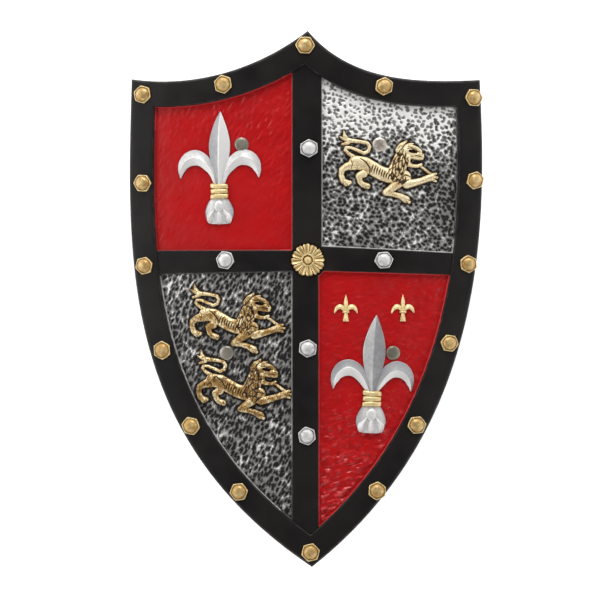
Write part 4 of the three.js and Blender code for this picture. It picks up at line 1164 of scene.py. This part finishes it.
def red_hammering(x, y, upper, seed):
    """Long soft strokes: slanting and strong towards the upper right, or nearly level and strong lower down.

    The strokes are random hills on a turned and stretched sheet, with fine wrinkles where a second set of
    hills passes zero. The highest places get a painted highlight in pink, and the low parts of the broad
    hills are darker.
    """
    if upper:
        lean, strong = -30, 0.12 + 0.55 * ramp(x + y, 10, 170)
    else:
        lean, strong = -72, 0.5 + 0.9 * ramp(-y, 60, 230)
    cos, sin = math.cos(math.radians(lean)), math.sin(math.radians(lean))
    across = x * cos + y * sin + 1.5 * hills(x, y, 11, seed)
    along = y * cos - x * sin
    broad = hills(across, along / 1.8, 3.0, seed + 1)
    wrinkle = 1 - 2.4 * abs(hills(across, along / 2.2, 3.2, seed + 2))
    height = (0.75 * broad + 0.22 * wrinkle) * strong + 0.2 * hills(x, y, 24, seed + 3)
    # crest is a painted highlight on the high places of the strokes.
    crest = 0.62 * ramp(0.8 * broad + 0.3 * wrinkle + 0.35 * hills(x, y, 1.5, seed + 4), 0.1, 1.2)
    return height, (0.5 * ramp(-broad, 0.1, 0.7) - crest) * strong


def silver_hammering(x, y, upper, seed):
    """Deep round dents, close together, and how thinly the silver lies.

    A dent is a smooth hollow round the nearest scattered point, as deep as that point's own number says. The
    silver is lightened towards the upper panel's top as a painted highlight, and darkened beside the lions:
    partly the black left at their feet, partly painted shade.
    """
    bent_x = x + 1.3 * hills(x, y, 6, seed + 5)
    bent_y = y + 1.3 * hills(x, y, 6, seed + 6)
    pitch, stretch, lean = (4.6, 1.2, 60) if upper else (4.0, 1.9, -24)
    _, middle, own = pits(bent_x, bent_y, pitch, stretch, math.radians(lean), seed)
    dent = 1 - ramp(middle + 0.13 * hills(x, y, 1.5, seed + 8), 0.1, 0.72)
    height = 0.35 - 1.15 * dent * (0.35 + 0.65 * own) + 0.18 * hills(x, y, 20, seed + 3)
    thin = 0.16 * hills(x, y, 30, seed + 4) + 0.14 * hills(x, y, 11, seed + 7)
    # The brush left fine streaks, which are strongest low on the left.
    streaks = hills(0.94 * x - 0.34 * y, (0.94 * y + 0.34 * x) / 4, 1.3, seed + 9)
    # The upper panel is lighter towards its top, a painted highlight.
    if upper:
        thin += 0.12 - 0.75 * ramp(y, 130, 225) + 0.12 * ramp(x, 110, 165) + 0.12 * streaks
    else:
        thin += 0.3 - 0.2 * ramp(y, -30, 25) * ramp(-x, 90, 150) + 0.3 * streaks
    # Beside the lions the panel darkens: partly the black left at their feet, partly painted shade.
    return height, dent * (0.95 + 0.55 * own) + thin + 0.8 * near_lions(x, y)


def hammered_panel(name, right, upper, seed):
    """One panel floor, calm beside its walls and under the rivet heads. Red and silver stand crosswise."""
    x, y, keep = panel_grid(right, upper)
    is_red = right != upper
    height, depth_and_painted_light = (red_hammering if is_red else silver_hammering)(x, y, upper, seed)
    height = height * ramp(near_edge(x, y, right, upper), -0.5, 2.5) * calm(x, y)
    surface = corners(x, y, PANEL_FLOOR + height), grid_faces(*x.shape, keep=keep), {"depth_and_painted_light": depth_and_painted_light.ravel()}
    make_piece(name, surface, *(("red_paint", red) if is_red else ("silver_paint", silver_hammered)))


# Each panel is whether it is right, whether it is upper, and its seed.
PANELS = {
    "panel_upper_left": (False, True, 100), "panel_upper_right": (True, True, 200),
    "panel_lower_left": (False, False, 300), "panel_lower_right": (True, False, 400),
}
for name, panel in PANELS.items():
    hammered_panel(name, *panel)

# %% [markdown]
# ## Rivets and washers
#
# Four plain rivets go through the board. Each is a turned shape: its profile, a line of radius and height
# from the top of the head down the shank to the tail, is carried round an axis that stands square to the
# board. The heads were knocked flat by hand, so each dome leans its own way.

# %% Rivets and washers
# Nickel-plated steel gone dull looks warm grey: an uneven shine, fine scratches and a brown film. Some heads
# are painted a darker olive grey, partly tarnish and partly a painted dark reflection.
nickel = make_material("dull_nickel_plate", {
    "spot": (PLACE, {}),
    "cloud": (NOISE, {"Scale": blobs(7)}),
    "film": (RANGE, {"Value": "cloud", "From Min": 0.42, "From Max": 0.66}),
    "plate": (MIX, {SHARE: "film", FIRST: "#D8D2CA", SECOND: "#A39A8A"}),
    "tarnish_and_dark_reflection": MARKS["tarnish_and_dark_reflection"],
    "base": (MIX, {SHARE: "tarnish_and_dark_reflection", FIRST: "plate", SECOND: "#6E6858"}),
    **skin(3.5, 0.3, 0.48, 0.9, 6.0, 0.15, 0.0002),
    "shader": (SHADER, {"Base Color": "base", "Metallic": 0.55, "Roughness": "rough", "Normal": "dented"}),
})
TURNED_SPOKES = 48
HEAD_BASE = 8.95
RIVET_PROFILE = [
    (1.6, 10.95), (3.2, 10.9), (4.8, 10.72), (6.0, 10.45), (6.9, 10.1), (7.55, 9.6), (7.95, 9.1), (8.0, 8.95),
    (7.8, 8.5), (2.4, 8.5), (2.4, -4.3), (3.6, -4.35), (4.8, -4.45), (5.0, -4.7), (4.9, -5.2), (4.3, -5.6),
    (3.0, -5.85), (1.5, -5.9),
]
WASHER_PROFILE = [
    (2.75, -3.1), (2.9, -3.02), (7.3, -3.02), (7.5, -3.15), (7.5, -3.85), (7.35, -3.98), (2.9, -3.98),
    (2.75, -3.9), (2.75, -3.1),
]


def turned(profile, x, y, tarnish_and_dark_reflection, lean=(0.0, 0.0), closed=False):
    """A profile of (radius, height) carried round an upright axis. The lean tips its head by that slope."""
    angle = np.arange(TURNED_SPOKES) * 2 * math.pi / TURNED_SPOKES
    radius, height = np.array(profile).T[..., None]
    px, py = radius * np.cos(angle), radius * np.sin(angle)
    pz = height + ramp(height, HEAD_BASE, HEAD_BASE + 1) * (px * lean[0] + py * lean[1])
    flat = corners(x + px, y + py, pz)
    faces = grid_faces(*px.shape, closed=True)[:, ::-1]
    for row in () if closed else (0, len(profile) - 1):
        centre = [x, y, profile[row][1]]
        flat, faces = closed_end(flat, faces, row * TURNED_SPOKES, TURNED_SPOKES, centre, row > 0)
    return flat, faces, {"tarnish_and_dark_reflection": np.full(len(flat), tarnish_and_dark_reflection)}


# How each head leans in x and y, and how dark it is painted: tarnish, and a painted dark reflection
HEADS = {
    "hand_left": ((-0.09, -0.07), 0.75), "hand_right": ((0.0, 0.03), 0.0),
    "arm_left": ((0.03, 0.05), 0.7), "arm_right": ((-0.04, 0.1), 0.85),
}
WASHER_DULL = 0.3
for place, (x, y) in RIVETS.items():
    lean, tarnish_and_dark_reflection = HEADS[place]
    pairs = {
        ("set_rivet", "rivet"): turned(RIVET_PROFILE, x, y, tarnish_and_dark_reflection, lean),
        ("flat_washer", "washer"): turned(WASHER_PROFILE, x, y, WASHER_DULL, closed=True),
    }
    for (look, solid), surface in pairs.items():
        make_piece(f"{look}_{place}", surface, "rivet_metal", nickel, 40, [f"{solid}_{place}"])

# %% [markdown]
# ## The straps
#
# The two straps behind the board are thick woven bands. A band is a rounded section carried along a line
# that lies on the back at both rivets and hangs away from it between them. The weave is real here: ribs
# across the band and a row of yarn along each edge, as coarse as they need to be to show.

# %% The straps
# Black woven polypropylene has dull yarns with a dry sheen, greyer where they are rubbed.
webbing = make_material("black_woven_band", {
    "spot": (PLACE, {}),
    "yarn": MARKS["yarn"],
    "cloud": (NOISE, {"Scale": blobs(14)}),
    "dusty": (RANGE, {"Value": "cloud", "From Min": 0.35, "From Max": 0.7, "To Min": 0.35, "To Max": "yarn"}),
    "base": (MIX, {SHARE: "dusty", FIRST: "#0E0E10", SECOND: "#34343A"}),
    "fine": (NOISE, {"Scale": blobs(0.7), "Detail": 6.0}),
    "fibre": (BUMP, {"Height": "fine", "Strength": 0.4, "Distance": 0.0003}),
    "shader": (SHADER, {"Base Color": "base", "Roughness": 0.8, "Sheen Weight": 0.25, "Normal": "fibre"}),
})
STRAP_THICKNESS = 2.4
STRAP_WIDTH = 38.0
STRAP_TAB = 20.0
STRAP_LEAD = 11.0
STRAP_GAP = 0.3
RIB_PITCH = 2.6
EDGE_PITCH = 1.7
STRAP_STEP = 0.65
STRAP_COLUMNS = 72


def strap(name, left_spot, right_spot, bow):
    """A woven band from past the left rivet to past the right one: its drop is half a cosine wave."""
    (left, height), (right, _) = left_spot, right_spot
    middle, reach = (left + right) / 2, (right - left) / 2
    end = reach + STRAP_TAB
    steps = int((2 * reach + 2 * STRAP_TAB) / STRAP_STEP)
    run = np.linspace(-end, end, steps)[:, None]
    drop = bow * (1 + np.cos(math.pi * np.clip(run / (reach - STRAP_LEAD), -1, 1))) / 2
    turn = np.linspace(0, 2 * math.pi, STRAP_COLUMNS, endpoint=False)
    # A flat section with round edges: a circle stretched sideways by a high power.
    flatten = lambda s: np.sign(s) * abs(s) ** 0.35
    across = STRAP_WIDTH / 2 * flatten(np.cos(turn))
    through = STRAP_THICKNESS / 2 * flatten(np.sin(turn))
    weave = np.cos(2 * math.pi * run / RIB_PITCH + math.pi * (np.floor(across / 4.75) % 2))
    edge = ramp(abs(across), 15.5, 17.5)
    rise = 0.11 * weave * (1 - edge) + 0.16 * edge * np.cos(2 * math.pi * run / EDGE_PITCH) - 0.1
    # The cut ends are a little narrower and pressed thinner.
    y = height + across * (1 - 0.06 * ramp(abs(run), end - 2.5, end))
    thick = through * (1 - 0.35 * ramp(abs(run), end - 1.5, end)) + np.sign(through) * rise
    # The band is square to its own line, so its thickness leans with the slope of the drop.
    slope = np.gradient(-drop[:, 0], run[:, 0])[:, None]
    steep = np.sqrt(1 + slope ** 2)
    z = -STRAP_GAP - STRAP_THICKNESS / 2 - drop + thick / steep
    flat = corners(middle + run - thick * slope / steep, y, z)
    faces = grid_faces(*z.shape, closed=True)
    for first in (0, (steps - 1) * STRAP_COLUMNS):
        flat, faces = closed_end(flat, faces, first, STRAP_COLUMNS, turned_over=first == 0)
    marks = {"yarn": np.append(ramp(rise, -0.1, 0.02), [0.2, 0.2])}
    make_piece(f"woven_{name}", (flat, faces, marks), "webbing", webbing, stands_for=[name])


for name, hold, bow in (("hand_strap", "hand", 27.0), ("forearm_strap", "arm", 22.0)):
    strap(name, RIVETS[f"{hold}_left"], RIVETS[f"{hold}_right"], bow)

# %% [markdown]
# ## The floor, the lights and the camera
#
# The shield lies face up on a pale floor, and the camera looks straight down, square to the face, from far
# away, so that nothing is drawn out of shape. Product pictures of this kind are taken on a glowing white
# table, so the floor gives a little light of its own and the shadow on it is faint. The lamps and the bright
# part of the sky stand low round the shield: flat paint then mirrors the dark zenith and stays deep, while
# every bump catches a light on its flank. The key lamp stands beyond the top edge.

# %% The floor
FLOOR_HALF = 3.0
FLOOR_DROP = -0.0006
SQUARE = [(-1, -1), (1, -1), (1, 1), (-1, 1)]
floor_corners = [(x * FLOOR_HALF, y * FLOOR_HALF, FLOOR_DROP) for x, y in SQUARE]
floor_mesh = bpy.data.meshes.new("studio_floor")
floor_mesh.from_pydata(floor_corners, [], [(0, 1, 2, 3)])
floor = bpy.data.objects.new("studio_floor", floor_mesh)
bpy.context.scene.collection.objects.link(floor)
# Matt white plastic lit from below: it has no highlights and shows a faint shadow.
floor_mesh.materials.append(make_material("pale_studio_floor", {
    "shader": (SHADER, {
        "Base Color": "#F7F7F7", "Roughness": 0.9, "Specular IOR Level": 0.1, "Emission Color": "#FFFFFF",
        "Emission Strength": 0.68,
    }),
}))

# %% The lights and the sky
def soft_lamp(name, place, size, watts):
    """A square area lamp at a place in metres that faces the shield."""
    data = bpy.data.lights.new(name, "AREA")
    data.shape = "SQUARE"
    data.size = size
    data.energy = watts
    lamp = bpy.data.objects.new(name, data)
    bpy.context.scene.collection.objects.link(lamp)
    lamp.location = place
    lamp.rotation_euler = (-lamp.location).to_track_quat("-Z", "Y").to_euler()


soft_lamp("key_lamp", (0.1, 2.5, 1.3), 1.1, 54)
soft_lamp("fill_lamp", (-2.3, 0.4, 1.2), 1.6, 12)

world = bpy.data.worlds.new("studio_sky")
bpy.context.scene.world = world
world.use_nodes = True
fill_tree(world.node_tree, {
    "direction": (("ShaderNodeTexCoord", {}, {}, "Generated"), {}),
    "upward": (("ShaderNodeSeparateXYZ", {}, {}, "Z"), {0: "direction"}),
    "glow": (RANGE, {"Value": "upward", "From Min": 0.5, "From Max": 0.74, "To Min": 1.6, "To Max": 0.12}),
    "sky": (("ShaderNodeBackground", {}, {}, None), {"Color": (1, 1, 1, 1), "Strength": "glow"}),
    "surface": (("ShaderNodeOutputWorld", {}, {}, None), {"Surface": "sky"}),
})
bpy.context.scene.view_settings.view_transform = "Standard"

# %% The camera
PHOTO_WIDTH = 613
MM_PER_PIXEL = 1.1204
CAMERA_DISTANCE = 3500.0
FACE_LEVEL = 34.0
SENSOR = 36.0
look_at = np.array([0.117, -0.722, 0.0])
eye = (look_at @ LYING.T + LYING @ np.array([0, 0, CAMERA_DISTANCE]) + [0, 0, FACE_LEVEL]) * MM
camera_data = bpy.data.cameras.new("photo_camera")
camera_data.sensor_width = SENSOR
camera_data.lens = SENSOR * CAMERA_DISTANCE / (PHOTO_WIDTH * MM_PER_PIXEL)
camera_data.clip_end = 20
camera = bpy.data.objects.new("photo_camera", camera_data)
bpy.context.scene.collection.objects.link(camera)
camera.location = eye
camera.rotation_euler = (REST_TILT, REST_ROLL, 0)
bpy.context.scene.camera = camera
print(f"camera lens {camera_data.lens:.1f} mm")
